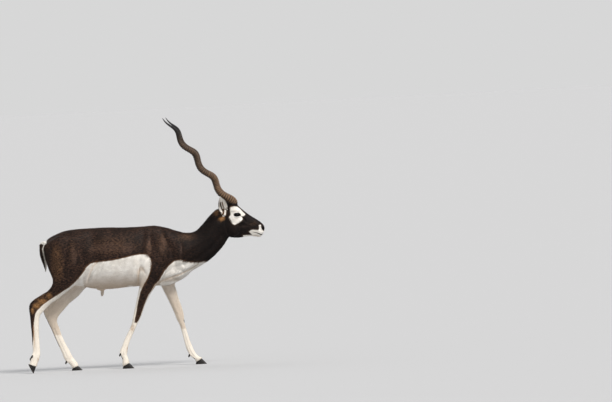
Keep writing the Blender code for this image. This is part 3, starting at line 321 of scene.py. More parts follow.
# Hollows beside the tendons of a leg: first and last row, how far back from its front edge, width and depth.
TENDONS = {
    "fore": [(11, 16, 0.60, 0.0035, -0.0022), (5, 9, 0.42, 0.0060, -0.0018), (7, 9, 0.75, 0.0045, -0.0014)],
    "hind": [(14, 18, 0.62, 0.0035, -0.0022), (7, 11, 0.74, 0.0065, -0.0048), (6, 9, 0.38, 0.0080, -0.0020)],
}

# Lengths of the hair.
BODY_HAIR = 0.0120
NECK_HAIR = 0.0150
FACE_HAIR = 0.0045
BELLY_HAIR = 0.0090
FOOT_HAIR = 0.0055
KNEE_HAIR = 0.0100
EAR_HAIR = 0.0060
TAIL_HAIR = 0.0150
SHEATH_HAIR = 0.0070
BEHIND_SHEATH_HAIR = 0.0080

# Where the dark coat meets the white on each side, in side view, without the legs.
FLANK = {
    -1: [
        (-0.290, 0.589), (-0.246, 0.595), (-0.191, 0.597), (-0.135, 0.605), (-0.079, 0.616),
        (-0.024, 0.624), (0.020, 0.622), (0.035, 0.599), (0.039, 0.566), (0.032, 0.533),
    ],
    1: [
        (-0.285, 0.589), (-0.246, 0.595), (-0.191, 0.597), (-0.135, 0.605), (-0.079, 0.616),
        (-0.010, 0.624), (0.045, 0.620), (0.070, 0.596), (0.080, 0.560), (0.088, 0.520),
    ],
}
CHEST = {
    -1: [
        (0.108, 0.524), (0.138, 0.558), (0.166, 0.576), (0.194, 0.583), (0.248, 0.566),
        (0.303, 0.563), (0.342, 0.567),
    ],
    1: [
        (0.178, 0.530), (0.190, 0.560), (0.206, 0.574), (0.226, 0.578), (0.256, 0.568),
        (0.303, 0.563), (0.342, 0.567),
    ],
}
# The dark stripe down the outside of a foreleg: row of the leg, and where it starts and ends behind the
# front edge, as shares of the leg's depth.
FORE_STRIPE = {
    -1: [
        (3, 0.07, 0.61), (4, 0.11, 0.70), (5, 0.08, 0.78), (6, 0.10, 0.82), (7, 0.08, 0.80),
        (8, 0.08, 0.72), (9, 0.06, 0.68), (10, 0.20, 0.55),
    ],
    1: [
        (2, 0.08, 0.66), (3, 0.10, 0.76), (4, 0.08, 0.80), (5, 0.10, 0.82), (6, 0.08, 0.80),
        (7, 0.08, 0.72), (8, 0.06, 0.68), (9, 0.20, 0.55),
    ],
}
# The same for a hind leg, where the stripe runs on round the back edge.
HIND_STRIPE = [
    (3, 0.02), (4, 0.06), (5, 0.10), (6, 0.13), (7, 0.24), (8, 0.27), (9, 0.30), (10, 0.33),
    (11, 0.38), (12, 0.44), (13, 0.50), (14, 0.60), (15, 0.74), (16, 0.93),
]
# Half the width of the white round the tail, seen from behind, at some heights.
RUMP_HEIGHTS = (0.42, 0.47, 0.52, 0.58, 0.64, 0.69, 0.722, 0.735)
RUMP_HALVES = (0.046, 0.051, 0.051, 0.047, 0.044, 0.036, 0.020, -0.010)
# The outlines of the white round the eye and on the muzzle, in side view.
EYE_PATCH = [
    (0.4884, 0.8562), (0.5089, 0.8600), (0.5241, 0.8568), (0.5389, 0.8443), (0.5558, 0.8245),
    (0.5670, 0.8130), (0.5599, 0.8051), (0.5480, 0.7990), (0.5513, 0.7864), (0.5404, 0.7741),
    (0.5246, 0.7660), (0.5063, 0.7580), (0.4963, 0.7636), (0.4883, 0.7820), (0.4779, 0.8030),
    (0.4875, 0.8153), (0.4860, 0.8358),
]
LIP_PATCH = [
    (0.5820, 0.7160), (0.5930, 0.7240), (0.6042, 0.7262), (0.6328, 0.7222), (0.6375, 0.7245),
    (0.6395, 0.7330), (0.6390, 0.7495), (0.6485, 0.7505), (0.6495, 0.7330), (0.6545, 0.7215),
    (0.6640, 0.7140), (0.6900, 0.7110), (0.6900, 0.6760), (0.6300, 0.6760), (0.6050, 0.6910),
    (0.5940, 0.7020),
]
# Soft spots of a colour: side (0 for both), middle in side view, half sizes, and strength. Tan lies over
# dark and white; coppery brown (part coat, part painted sheen) and painted sheen lie over the dark coat
# alone; painted shade lies over the white alone.
TAN_SPOTS = [
    (0, (0.437, 0.796), (0.019, 0.011), 1.0),
    (0, (0.412, 0.832), (0.012, 0.016), 0.25),
    (-1, (-0.604, 0.372), (0.024, 0.016), 0.85),
    (-1, (-0.572, 0.394), (0.028, 0.015), 0.75),
    (-1, (-0.628, 0.345), (0.010, 0.018), 0.75),
    (-1, (-0.530, 0.424), (0.016, 0.018), 0.50),
    (0, (0.4940, 0.860), (0.006, 0.004), 0.7),
    (-1, (-0.6280, 0.200), (0.0045, 0.075), 0.65),
    (-1, (-0.6125, 0.072), (0.006, 0.016), 0.50),
    (-1, (-0.6190, 0.046), (0.007, 0.008), 0.50),
    (-1, (-0.085, 0.222), (0.012, 0.022), 0.55),
    (-1, (-0.1185, 0.100), (0.005, 0.024), 0.60),
    # Thin brown lines along the lid folds above and below the eye: painted shade in those folds.
    (0, (0.5120, 0.8325), (0.0150, 0.0020), 0.45),
    (0, (0.5150, 0.7925), (0.0170, 0.0020), 0.45),
    (0, (0.5220, 0.7800), (0.0120, 0.0016), 0.30),
    (1, (0.188, 0.246), (0.007, 0.010), 0.7),
]
# Coppery brown over the dark coat: the coat's own colour on the rear thigh, gaskin and ear base, and painted
# sheen on the thigh's lit band, flank, shoulder, neck and cheek.
COPPER_AND_SHEEN_SPOTS = [
    (0, (-0.475, 0.600), (0.040, 0.110), 1.0),
    (0, (-0.560, 0.405), (0.060, 0.035), 1.0),
    (0, (-0.385, 0.660), (0.020, 0.070), 0.45),
    (0, (-0.160, 0.680), (0.150, 0.055), 0.35),
    (0, (0.032, 0.660), (0.018, 0.050), 0.55),
    (0, (0.105, 0.670), (0.030, 0.070), 0.40),
    (0, (0.235, 0.705), (0.060, 0.022), 0.55),
    (0, (0.415, 0.828), (0.026, 0.022), 0.7),
    (0, (0.605, 0.760), (0.030, 0.016), 0.22),
]
# Painted sheen: lighter patches on the dark coat where the light catches the shoulder, ribs, thigh, neck and
# cheek.
PAINTED_SHEEN_SPOTS = [
    (0, (0.032, 0.665), (0.013, 0.048), 0.80),
    (0, (0.105, 0.665), (0.022, 0.050), 0.45),
    (0, (0.209, 0.640), (0.006, 0.042), 0.80),
    (0, (-0.380, 0.640), (0.015, 0.058), 0.70),
    (0, (-0.200, 0.672), (0.110, 0.030), 0.45),
    (0, (-0.090, 0.662), (0.050, 0.036), 0.55),
    (0, (0.260, 0.705), (0.060, 0.020), 0.45),
    (0, (0.561, 0.745), (0.034, 0.009), 1.0),
]
# Painted shade on the white: under the chest, round the near elbow, on the inner far hind and fore leg, and
# under the chin.
PAINTED_SHADE_SPOTS = [
    (0, (0.140, 0.478), (0.080, 0.016), 0.5),
    (-1, (-0.036, 0.500), (0.008, 0.050), 0.6),
    (-1, (-0.010, 0.545), (0.014, 0.016), 0.6),
    (1, (-0.440, 0.420), (0.075, 0.080), 0.55),
    (1, (-0.360, 0.480), (0.050, 0.050), 0.45),
    (1, (0.120, 0.420), (0.035, 0.050), 0.35),
    (0, (0.620, 0.690), (0.030, 0.006), 0.5),
]
# Black spots with a hard edge, in the same columns.
INK_SPOTS = [
    (0, (NOSTRIL.x, NOSTRIL.z), (0.0078, 0.0080), 1.0),
    (1, (0.1990, 0.2430), (0.0055, 0.0100), 1.0),
]
# Black lines on the feet: side, line in side view, and half width.
INK_LINES = [
    (-1, [(-0.1650, 0.0900), (-0.1600, 0.0740), (-0.1505, 0.0560)], 0.0045),
    (-1, [(-0.1195, 0.0740), (-0.1165, 0.0607), (-0.1120, 0.0520)], 0.0028),
    (1, [(0.2370, 0.0340), (0.2430, 0.0250), (0.2500, 0.0100)], 0.0036),
    (1, [(-0.4690, 0.0480), (-0.4560, 0.0380), (-0.4480, 0.0370)], 0.0036),
    (-1, [(-0.6480, 0.0935), (-0.6410, 0.0890)], 0.0028),
]
# Shaded lines where the skin folds: side, line in side view, half width and strength.
CREASES = [
    (-1, [(-0.027, 0.545), (-0.030, 0.520), (-0.038, 0.480), (-0.044, 0.450)], 0.0034, 0.85),
    (-1, [(-0.020, 0.556), (-0.006, 0.540), (0.001, 0.524)], 0.0036, 0.60),
    (0, [(0.078, 0.466), (0.130, 0.485), (0.194, 0.503), (0.250, 0.529), (0.296, 0.553)], 0.0034, 0.80),
    (0, [(-0.250, 0.600), (-0.280, 0.572), (-0.302, 0.530), (-0.318, 0.490)], 0.0045, 0.55),
]
EAR_BAND = [(0.4600, 0.8720), (0.4595, 0.8400), (0.4560, 0.8160), (0.4460, 0.8110)]
# Dark stripes inside the ear: start and end as shares of its length with how far across, and half width.
EAR_STRIPES = [
    ((0.12, -0.0010), (0.60, 0.0010), 0.0042),
    ((0.20, -0.0120), (0.60, -0.0100), 0.0026),
    ((0.36, 0.0105), (0.66, 0.0085), 0.0022),
    ((0.56, 0.0050), (0.80, 0.0025), 0.0030),
]

# The camera: where it looks, how far off and how high it stands, its turns in degrees, and the width of the
# photograph in pixels with the size of one on the animal.
CAMERA_TARGET = Vector((0.903, 0, 0.868))
CAMERA_DISTANCE = 45.0
CAMERA_HEIGHT = 1.63
CAMERA_YAW = 1.6
CAMERA_ROLL = -3
FRAME_WIDTH = 612
PIXEL = 0.0055
SENSOR_WIDTH = 36

# A foot: heel and toe along X, how far out it is, the height of the coronet in front and behind, how far
# behind the toe the coronet ends, and the pitch of a foot that stands on its toe.
FEET = {
    "front_right": (-0.150, -0.087, 0.058, 0.030, 0.012, 0.026, 0),
    "front_left": (0.248, 0.308, 0.058, 0.030, 0.012, 0.026, 0),
    "hind_right": (-0.700, -0.643, 0.058, 0.034, 0.007, 0.029, 64),
    "hind_left": (-0.436, -0.379, 0.058, 0.024, 0.011, 0.022, 0),
}
# The middles of the outer and the inner dewclaw of each foot.
DEWCLAWS = {
    "front_right": ((-0.1605, 0.0665, 0.079), (-0.1605, 0.0475, 0.079)),
    "front_left": ((0.2140, 0.0665, 0.051), (0.2140, 0.0475, 0.051)),
    "hind_right": ((-0.6455, 0.0670, 0.0925), (-0.6545, 0.0475, 0.0810)),
    "hind_left": ((-0.4660, 0.0665, 0.048), (-0.4660, 0.0475, 0.048)),
}
# The pad of flesh that a dewclaw grows from: how far ahead of it and over it, and its radii.
PAD_AHEAD = 0.0085
PAD_OVER = 0.0065
PAD_RADII = (0.0100, 0.0062, 0.0100)
LEGS = {
    "front_right": (FORE_RIGHT, -1, "fore"),
    "front_left": (FORE_LEFT, 1, "fore"),
    "hind_right": (HIND_RIGHT, -1, "hind"),
    "hind_left": (HIND_LEFT, 1, "hind"),
}


class Wire:
    """A socket of a node tree. Its arithmetic adds Math nodes."""

    def __init__(self, tree, socket):
        self.tree, self.socket = tree, socket

    def reckon(self, operation, *others):
        """A Math node on this value and others."""
        inputs = dict(enumerate((self, *others)))
        return self.tree.add("ShaderNodeMath", {"operation": operation}, inputs)

    def __add__(self, other):
        return self.reckon("ADD", other)

    __radd__ = __add__

    def __sub__(self, other):
        return self.reckon("SUBTRACT", other)

    def __rsub__(self, other):
        return self.tree.add("ShaderNodeMath", {"operation": "SUBTRACT"}, {0: other, 1: self})

    def __mul__(self, other):
        return self.reckon("MULTIPLY", other)

    __rmul__ = __mul__

    def __truediv__(self, other):
        return self.reckon("DIVIDE", other)

    def __rtruediv__(self, other):
        return self.tree.add("ShaderNodeMath", {"operation": "DIVIDE"}, {0: other, 1: self})

    def __pow__(self, other):
        return self.reckon("POWER", other)

    def clamped(self):
        return self.reckon("MAXIMUM", 0.0).reckon("MINIMUM", 1.0)

    def step(self, low, high):
        """0 below low, 1 over high, and smooth between."""
        inputs = {"Value": self, "From Min": low, "From Max": high}
        return self.tree.add("ShaderNodeMapRange", {"interpolation_type": "SMOOTHSTEP"}, inputs)

    def output(self, name):
        """Another output of the node that this wire comes from."""
        return Wire(self.tree, self.socket.node.outputs[name])


class Tree:
    """A node tree to which nodes are added one call at a time."""

    def __init__(self, nodes, links):
        self.nodes, self.links = nodes, links

    def add(self, kind, settings=None, inputs=None, output=None):
        """A node with its settings and what goes into its sockets. Gives one of its outputs."""
        node = self.nodes.new(kind)
        for name, value in (settings or {}).items():
            if name == "stops":
                ramp = node.color_ramp.elements
                while len(ramp) < len(value):
                    ramp.new(0.5)
                for element, (place, colour) in zip(ramp, value):
                    element.position = place
                    element.color = (*colour, 1)
            else:
                setattr(node, name, value)
        self.fill(node, inputs or {})
        if output is None:
            output = next((i for i, socket in enumerate(node.outputs) if socket.enabled), None)
        return None if output is None else Wire(self, node.outputs[output])

    def feed(self, socket, value):
        """Links a wire to a socket, or sets the socket's own value."""
        if isinstance(value, Wire):
            self.links.new(value.socket, socket)
        else:
            socket.default_value = value

    def fill(self, node, inputs):
        """Feeds sockets of a node, given by name or number."""
        for name, value in inputs.items():
            self.feed(node.inputs[name], value)

    def attribute(self, name):
        """A value that the mesh keeps by name, in a material."""
        return self.add("ShaderNodeAttribute", {"attribute_name": name}, output="Fac")

    def blend(self, factor, one, two):
        """One colour at factor 0 and another at 1."""
        one, two = (value if isinstance(value, Wire) else (*value, 1) for value in (one, two))
        settings = {"data_type": "RGBA"}
        return self.add("ShaderNodeMix", settings, {0: factor, 6: one, 7: two}, 2)

    def noise(self, place, scale, detail=2.0, roughness=0.5):
        """A value round 0.5 that wanders over a place."""
        inputs = {"Vector": place, "Scale": scale, "Detail": detail, "Roughness": roughness}
        return self.add("ShaderNodeTexNoise", None, inputs)

    def scaled(self, vector, size):
        """A vector made longer or shorter."""
        return self.add("ShaderNodeVectorMath", {"operation": "SCALE"}, {0: vector, "Scale": size})

    def total(self, one, two):
        """The sum of two vectors."""
        return self.add("ShaderNodeVectorMath", {"operation": "ADD"}, {0: one, 1: two})

    def dot(self, one, two):
        """The dot product of two vectors."""
        return self.add("ShaderNodeVectorMath", {"operation": "DOT_PRODUCT"}, {0: one, 1: two}, "Value")

    def named(self, name, kind="FLOAT_VECTOR"):
        """A value that the mesh keeps by name, in a geometry tree."""
        return self.add("GeometryNodeInputNamedAttribute", {"data_type": kind}, {"Name": name})

    def kept(self, geometry, name, value, kind, domain):
        """A geometry with a value kept on it by name."""
        inputs = {"Geometry": geometry, "Name": name, "Value": value}
        return self.add("GeometryNodeStoreNamedAttribute", {"data_type": kind, "domain": domain}, inputs)

    def stretched(self, place, factors):
        """A place with each axis multiplied by its own factor."""
        return self.add("ShaderNodeVectorMath", {"operation": "MULTIPLY"}, {0: place, 1: factors})


def material(name):
    """A new material, its tree and its main shader."""
    paint = bpy.data.materials.new(name)
    paint.use_nodes = True
    tree = Tree(paint.node_tree.nodes, paint.node_tree.links)
    return paint, tree, paint.node_tree.nodes["Principled BSDF"]


def geometry_group(name, sockets):
    """A geometry tree with named inputs, a wire from each, and a function that ends the tree."""
    group = bpy.data.node_groups.new(name, "GeometryNodeTree")
    group.interface.new_socket("Geometry", in_out="INPUT", socket_type="NodeSocketGeometry")
    for label, kind in sockets.items():
        group.interface.new_socket(label, in_out="INPUT", socket_type="NodeSocket" + kind)
    group.interface.new_socket("Geometry", in_out="OUTPUT", socket_type="NodeSocketGeometry")
    tree = Tree(group.nodes, group.links)
    entry = group.nodes.new("NodeGroupInput")
    wires = {socket.name: Wire(tree, socket) for socket in entry.outputs if socket.name}

    def close(geometry, paint):
        real = tree.add("GeometryNodeRealizeInstances", None, {"Geometry": geometry})
        painted = tree.add("GeometryNodeSetMaterial", None, {"Geometry": real, "Material": paint})
        tree.links.new(painted.socket, group.nodes.new("NodeGroupOutput").inputs[0])

    return group, tree, wires, close


def grow(name, source, group, values):
    """A plain mesh object from a geometry tree on a source mesh."""
    thing = new_object(name, source)
    modifier = thing.modifiers.new("grow", "NODES")
    modifier.node_group = group
    for item in group.interface.items_tree:
        if item.in_out == "INPUT" and item.name in values:
            modifier[item.identifier] = values[item.name]
    graph = bpy.context.evaluated_depsgraph_get()
    mesh = bpy.data.meshes.new_from_object(thing.evaluated_get(graph))
    thing.modifiers.clear()
    thing.data = mesh
    mesh.name = name
    return thing


def mesh_of(bm, name):
    """A new mesh from what has been worked on, which is let go."""
    mesh = bpy.data.meshes.new(name)
    bm.to_mesh(mesh)
    bm.free()
    return mesh


def new_object(name, mesh):
    """An object for a mesh, in the scene."""
    thing = bpy.data.objects.new(name, mesh)
    bpy.context.scene.collection.objects.link(thing)
    return thing


def remove_form(thing):
    """Takes away a form that has done its work."""
    mesh = thing.data
    bpy.data.objects.remove(thing)
    bpy.data.meshes.remove(mesh)


def spread_keys(rows, steps):
    """Rows between the key rows, on a Catmull-Rom curve through them, with steps to each stretch."""
    keys = np.array(rows, float)
    before = 2 * keys[0] - keys[1]
    after = 2 * keys[-1] - keys[-2]
    padded = np.vstack([before, keys, after])
    found = []
    for i in range(len(keys) - 1):
        a, b, c, d = padded[i : i + 4]
        for t in np.arange(steps) / steps:
            cubic = -a + 3 * b - 3 * c + d
            found.append(b + 0.5 * t * (c - a + t * (2 * a - 5 * b + 4 * c - d + t * cubic)))
    found.append(keys[-1])
    return np.array(found)


def section(top, bottom, out, half, widest, above, below, sides=RING_SIDES):
    """The points of one closed section, which stands on the line from bottom to top in side view."""
    top, bottom = np.array(top), np.array(bottom)
    middle = bottom + widest * (top - bottom)
    points = []
    for i in range(sides):
        angle = 2 * math.pi * i / sides
        across, along = math.cos(angle), math.sin(angle)
        power = 2 / (above if along > 0 else below)
        arm = (top - middle) if along > 0 else (middle - bottom)
        x, z = middle + arm * math.copysign(abs(along) ** power, along)
        y = out + half * math.copysign(abs(across) ** power, across)
        points.append((x, y, z))
    return points


def loft(name, sections):
    """A closed solid through a row of sections with the same number of points."""
    bm = bmesh.new()
    loops = [[bm.verts.new(p) for p in points] for points in sections]
    for one, two in zip(loops, loops[1:]):
        for i in range(len(one)):
            j = (i + 1) % len(one)
            bm.faces.new((one[i], one[j], two[j], two[i]))
    bm.faces.new(loops[0])
    bm.faces.new(loops[-1])
    bmesh.ops.recalc_face_normals(bm, faces=bm.faces)
    bmesh.ops.triangulate(bm, faces=bm.faces)
    return new_object(name, mesh_of(bm, name))


def ball(name, centre, radii, turn=0.0, segments=32, rings=20):
    """An ellipsoid, turned about Y by some degrees."""
    bm = bmesh.new()
    bmesh.ops.create_uvsphere(bm, u_segments=segments, v_segments=rings, radius=1.0)
    turned = Matrix.Rotation(math.radians(turn), 4, "Y")
    matrix = Matrix.Translation(centre) @ turned @ Matrix.Diagonal((*radii, 1))
    bmesh.ops.transform(bm, matrix=matrix, verts=bm.verts)
    return new_object(name, mesh_of(bm, name))


def mirrored(point, side):
    """A point of the left side (1), or its image on the right (-1)."""
    return Vector((point[0], side * point[1], point[2]))


def body_loft(name, rows, steps=KEY_STEPS, sides=RING_SIDES):
    """A loft on the middle plane, through key rows."""
    flat = [(*top, *bottom, *rest) for top, bottom, *rest in rows]
    rings = []
    for x1, z1, x2, z2, half, widest, above, below in spread_keys(flat, steps):
        rings.append(section((x1, z1), (x2, z2), 0.0, half, widest, above, below, sides))
    return loft(name, rings)


def leg_loft(name, rows, side):
    """A leg through its key rows, on the left (1) or the right (-1)."""
    flat = [(*front, *back, out, half) for front, back, out, half in rows]
    rings = []
    for x1, z1, x2, z2, out, half in spread_keys(flat, KEY_STEPS):
        rings.append(section((x1, z1), (x2, z2), side * out, half, 0.5, LEG_SQUARENESS, LEG_SQUARENESS))
    return loft(name, rings)


def apply_modifiers(thing):
    """Makes what the modifiers show the thing's own mesh."""
    graph = bpy.context.evaluated_depsgraph_get()
    mesh = bpy.data.meshes.new_from_object(thing.evaluated_get(graph))
    thing.modifiers.clear()
    old = thing.data
    thing.data = mesh
    bpy.data.meshes.remove(old)


def combine(thing, other, operation):
    """Unites a form with thing, or takes it out, for good."""
    modifier = thing.modifiers.new("combine", "BOOLEAN")
    modifier.operation = operation
    modifier.solver = "MANIFOLD"
    modifier.object = other
    apply_modifiers(thing)
    remove_form(other)


def coords(mesh, normals=False):
    """The points of a mesh as an array, or the normals at them."""
    found = np.empty(len(mesh.vertices) * 3)
    if normals:
        mesh.vertex_normals.foreach_get("vector", found)
    else:
        mesh.vertices.foreach_get("co", found)
    return found.reshape(-1, 3)


def set_coords(mesh, points):
    """Moves the points of a mesh."""
    mesh.vertices.foreach_set("co", points.ravel())
    mesh.update()


def path_distance(points, path):
    """How far each point of a plane is from a line of short stretches."""
    nearest = np.full(len(points), np.inf)
    for one, two in zip(path, path[1:]):
        one, two = np.array(one), np.array(two)
        along = two - one
        share = np.clip(((points - one) @ along) / (along @ along), 0, 1)
        gap = points - one - share[:, None] * along
        nearest = np.minimum(nearest, np.hypot(gap[:, 0], gap[:, 1]))
    return nearest


def inside_distance(points, outline):
    """How far each point of a plane is inside a closed outline; less than 0 is outside."""
    closed = list(outline) + [outline[0]]
    inside = np.zeros(len(points), bool)
    x, z = points[:, 0], points[:, 1]
    for (x1, z1), (x2, z2) in zip(closed, closed[1:]):
        crosses = (z1 > z) != (z2 > z)
        rise = z2 - z1 if z2 != z1 else 1e-12
        inside ^= crosses & (x < (x2 - x1) * (z - z1) / rise + x1)
    return np.where(inside, 1.0, -1.0) * path_distance(points, closed)


def smooth_step(value, low, high):
    """0 below low, 1 over high, and smooth between, for an array."""
    share = np.clip((value - low) / (high - low), 0, 1)
    return share * share * (3 - 2 * share)


def join_flesh():
    """Every loft and muscle as one closed surface, smoothed."""
    things = [body_loft("trunk", TRUNK), body_loft("neck", NECK), body_loft("skull", HEAD)]
    things += [leg_loft(name, rows, side) for name, (rows, side, kind) in LEGS.items()]
    for name, (centre, radii, turn) in MUSCLES.items():
        for side in (1, -1) if centre[1] else (1,):
            things.append(ball(name, mirrored(centre, side), radii, turn))
    for leg, claws in DEWCLAWS.items():
        for x, out, z in claws:
            centre = (x + PAD_AHEAD, LEGS[leg][1] * out, z + PAD_OVER)
            things.append(ball("pad", centre, PAD_RADII))
    bm = bmesh.new()
    for thing in things:
        bm.from_mesh(thing.data)
        remove_form(thing)
    flesh = new_object("skin", mesh_of(bm, "skin"))
    remesh = flesh.modifiers.new("join", "REMESH")
    remesh.mode = "VOXEL"
    remesh.voxel_size = VOXEL
    smooth = flesh.modifiers.new("smooth", "SMOOTH")
    smooth.factor = 0.5
    smooth.iterations = SMOOTHING
    apply_modifiers(flesh)
    ease_back(flesh)
    return flesh


def ease_back(flesh):
    """Smooths croup, hips and withers more, where the legs run into the trunk."""
    x, y, z = coords(flesh.data).T
    croup = smooth_step(z, 0.640, 0.700) * (1 - smooth_step(x, -0.270, -0.230))
    croup = croup * smooth_step(x, -0.545, -0.520)
    withers = smooth_step(z, 0.650, 0.700) * (1 - smooth_step(x, 0.150, 0.200))
    withers = withers * smooth_step(x, -0.060, -0.020)
    weight = np.round(np.maximum(croup, 0.6 * withers), 1)
    eased = flesh.vertex_groups.new(name="eased")
    for level in np.unique(weight[weight > 0]):
        eased.add([int(i) for i in np.nonzero(weight == level)[0]], float(level), "REPLACE")
    smooth = flesh.modifiers.new("ease", "SMOOTH")
    smooth.factor = 0.5
    smooth.iterations = 180
    smooth.vertex_group = "eased"
    apply_modifiers(flesh)
    flesh.vertex_groups.clear()


def refine_head(flesh):
    """Splits the faces of the head in four, and smooths them."""
    bm = bmesh.new()
    bm.from_mesh(flesh.data)
    edges = [e for e in bm.edges if min(v.co.x for v in e.verts) > HEAD_START]
    bmesh.ops.subdivide_edges(bm, edges=edges, cuts=1, use_grid_fill=True, smooth=0.6)
    bmesh.ops.triangulate(bm, faces=[f for f in bm.faces if len(f.verts) > 4])
    bm.to_mesh(flesh.data)
    bm.free()


def sink_skin(mesh):
    """Moves the skin inwards by the depth of the coat, which is least on the face and the feet."""
    points, normals = coords(mesh), coords(mesh, True)
    body = smooth_step(points[:, 2], 0.36, 0.50) * (1 - smooth_step(points[:, 0], 0.42, 0.50))
    depth = LEG_COAT + (BODY_COAT - LEG_COAT) * body
    depth = depth * (1 - 0.8 * smooth_step(points[:, 0], 0.47, 0.54))
    set_coords(mesh, points - normals * depth[:, None])


def side_lines():
    """Each fold with its side, line, width and height, those of the ribs and the tendons among them."""
    lines = list(FOLDS)
    for x1, z1, x2, z2 in RIBS:
        bend = ((x1 + x2) / 2 + 0.006, (z1 + z2) / 2)
        lines.append((0, [(x1, z1), bend, (x2, z2)], *RIB_SPACE))
    for rows, side, kind in LEGS.values():
        for first, last, share, width, height in TENDONS[kind]:
            lines.append((side, [row_point(rows[i], share) for i in range(first, last + 1)], width, height))
    return lines


def row_point(row, share):
    """A point of a leg's row in side view, some way from its front edge to its back edge."""
    (x1, z1), (x2, z2) = row[0], row[1]
    return (x1 + share * (x2 - x1), z1 + share * (z2 - z1))


def work_folds(mesh):
    """Presses the valleys in and raises the ridges, most where the skin faces sideways."""
    points, normals = coords(mesh), coords(mesh, True)
    facing = np.clip(np.abs(normals[:, 1]) * 1.4 - 0.2, 0, 1)
    moved = points.copy()
    plane = points[:, [0, 2]]
    for side, line, width, height in side_lines():
        low, high = np.min(line, axis=0) - 2.5 * width, np.max(line, axis=0) + 2.5 * width
        near = np.all((plane > low) & (plane < high), axis=1)
        if side:
            near &= points[:, 1] * side > 0.0
        index = np.nonzero(near)[0]
        away = path_distance(plane[index], line)
        push = height * np.exp(-((away / width) ** 2)) * facing[index]
        moved[index] += normals[index] * push[:, None]
    set_coords(mesh, moved)


def thin_skin(flesh):
    """Takes the skin down to the triangles that it may have, sparing the head."""
    spared = flesh.vertex_groups.new(name="spared")
    points = coords(flesh.data)
    weight = 0.10 + 0.80 * smooth_step(points[:, 0], 0.44, 0.50)
    weight = np.round(weight, 1)
    for level in np.unique(weight):
        spared.add([int(i) for i in np.nonzero(weight == level)[0]], float(level), "REPLACE")
    count = sum(len(p.vertices) - 2 for p in flesh.data.polygons)
    thin = flesh.modifiers.new("thin", "DECIMATE")
    thin.ratio = SKIN_TRIANGLES / count
    thin.vertex_group = "spared"
    thin.vertex_group_factor = 0.00002
    thin.invert_vertex_group = True
    apply_modifiers(flesh)
    flesh.vertex_groups.clear()


def ear_frame(side):
    """The root of an ear, its direction, the way across it, the way it looks, and its length."""
    root, tip = mirrored(EAR_ROOT, side), mirrored(EAR_TIPS[side], side)
    along = (tip - root).normalized()
    facing = mirrored(EAR_FACING, side)
    facing = (facing - facing.dot(along) * along).normalized()
    return root, along, along.cross(facing), facing, (tip - root).length


def ear_loft(side):
    """A leaf rolled into a cup, whose rim curls in near the root and which narrows to a blunt point."""
    root, along, across, facing, length = ear_frame(side)
    rings = []
    for t in np.linspace(0, 1, 30) ** 0.9:
        leaf = 0.42 + 0.62 * math.sin(math.pi * min(t, 0.86) ** 0.85)
        half = EAR_HALF_WIDTH * leaf * (1 - t**5) + 0.0012
        depth = EAR_DEPTH * (1 - t) ** 0.7 * (0.45 + 0.55 * min(1, t / 0.2)) + 0.003
        wall = EAR_THICKNESS * (1 - 0.5 * t)
        filled = max(0.0, 1 - t / 0.22) ** 1.5
        hollow = (depth - wall) * (1 - filled) - 0.6 * depth * filled
        middle = root + along * (length * t) - facing * (0.0060 * math.sin(math.pi * t) - 0.45 * depth)
        outer, inner = [], []
        for i in range(25):
            swing = math.pi * (i / 24 - 0.5)
            wide, deep = math.sin(swing), math.cos(swing)
            ridge = 0.0009 * math.cos(6 * swing) * (1 - filled) * math.sin(math.pi * t)
            narrow = half - 0.8 * wall
            outer.append(middle + across * (half * wide) - facing * (depth * deep))
            inner.append(middle + across * (narrow * wide) - facing * (hollow * deep - 0.3 * wall + ridge))
        rings.append([tuple(p) for p in outer + inner[::-1]])
    return loft("ear", rings)


def lid_opening(side):
    """An almond that runs out from inside the eyeball, through which the eye looks."""
    loops = []
    for depth, grow in ((0.004, 1.0), (0.016, 1.0), (0.040, 1.45)):
        loop = []
        for i in range(40):
            swing = 2 * math.pi * i / 40
            x = LID_OPENING[0] * math.cos(swing) * grow
            power = 1.35 if math.cos(swing) > 0 else 1.05
            z = LID_OPENING[1] * math.copysign(abs(math.sin(swing)) ** power, math.sin(swing)) * grow
            loop.append((x, -depth, z))
        loops.append(loop)
    almond = loft("opening", loops)
    almond.data.transform(eye_place(side) @ Matrix.Rotation(math.radians(LID_TURN), 4, "Y"))
    if side > 0:
        almond.data.flip_normals()
    return almond


def eye_place(side):
    """The matrix that puts a form made round the origin, looking along -Y, into an eye."""
    ahead, up = (math.radians(a) for a in EYE_AIM)
    turn = Matrix.Rotation(ahead, 4, "Z") @ Matrix.Rotation(-up, 4, "X")
    if side > 0:
        turn = Matrix.Diagonal((1, -1, 1, 1)) @ turn
    return Matrix.Translation(mirrored(EYE_CENTRE, side)) @ turn


def mouth_slit(side):
    """A thin wedge along the line of the mouth, cut in from one side."""
    loops = []
    for x, z, surface in spread_keys(MOUTH, 3):
        outer = side * (surface + 0.010)
        inner = side * max(-0.001, surface - MOUTH_DEPTH)
        loops.append([(x, outer, z + 2 * MOUTH_HEIGHT), (x, inner, z), (x, outer, z - 2 * MOUTH_HEIGHT)])
    return loft("mouth", loops)


def fit_head(skin):
    """Unites ears and tail with the skin, and cuts its eye sockets, lids, mouth and nostrils."""
    for side in (1, -1):
        combine(skin, ear_loft(side), "UNION")
    combine(skin, body_loft("tail", TAIL, 4, 20), "UNION")
    for side in (1, -1):
        socket = ball("socket", mirrored(EYE_CENTRE, side), (EYE_RADIUS + 0.0003,) * 3, 0, 48, 32)
        combine(skin, socket, "DIFFERENCE")
        combine(skin, lid_opening(side), "DIFFERENCE")
        combine(skin, mouth_slit(side), "DIFFERENCE")
        hole = ball("nostril", mirrored(NOSTRIL, side), NOSTRIL_RADII, 35, 24, 16)
        combine(skin, hole, "DIFFERENCE")


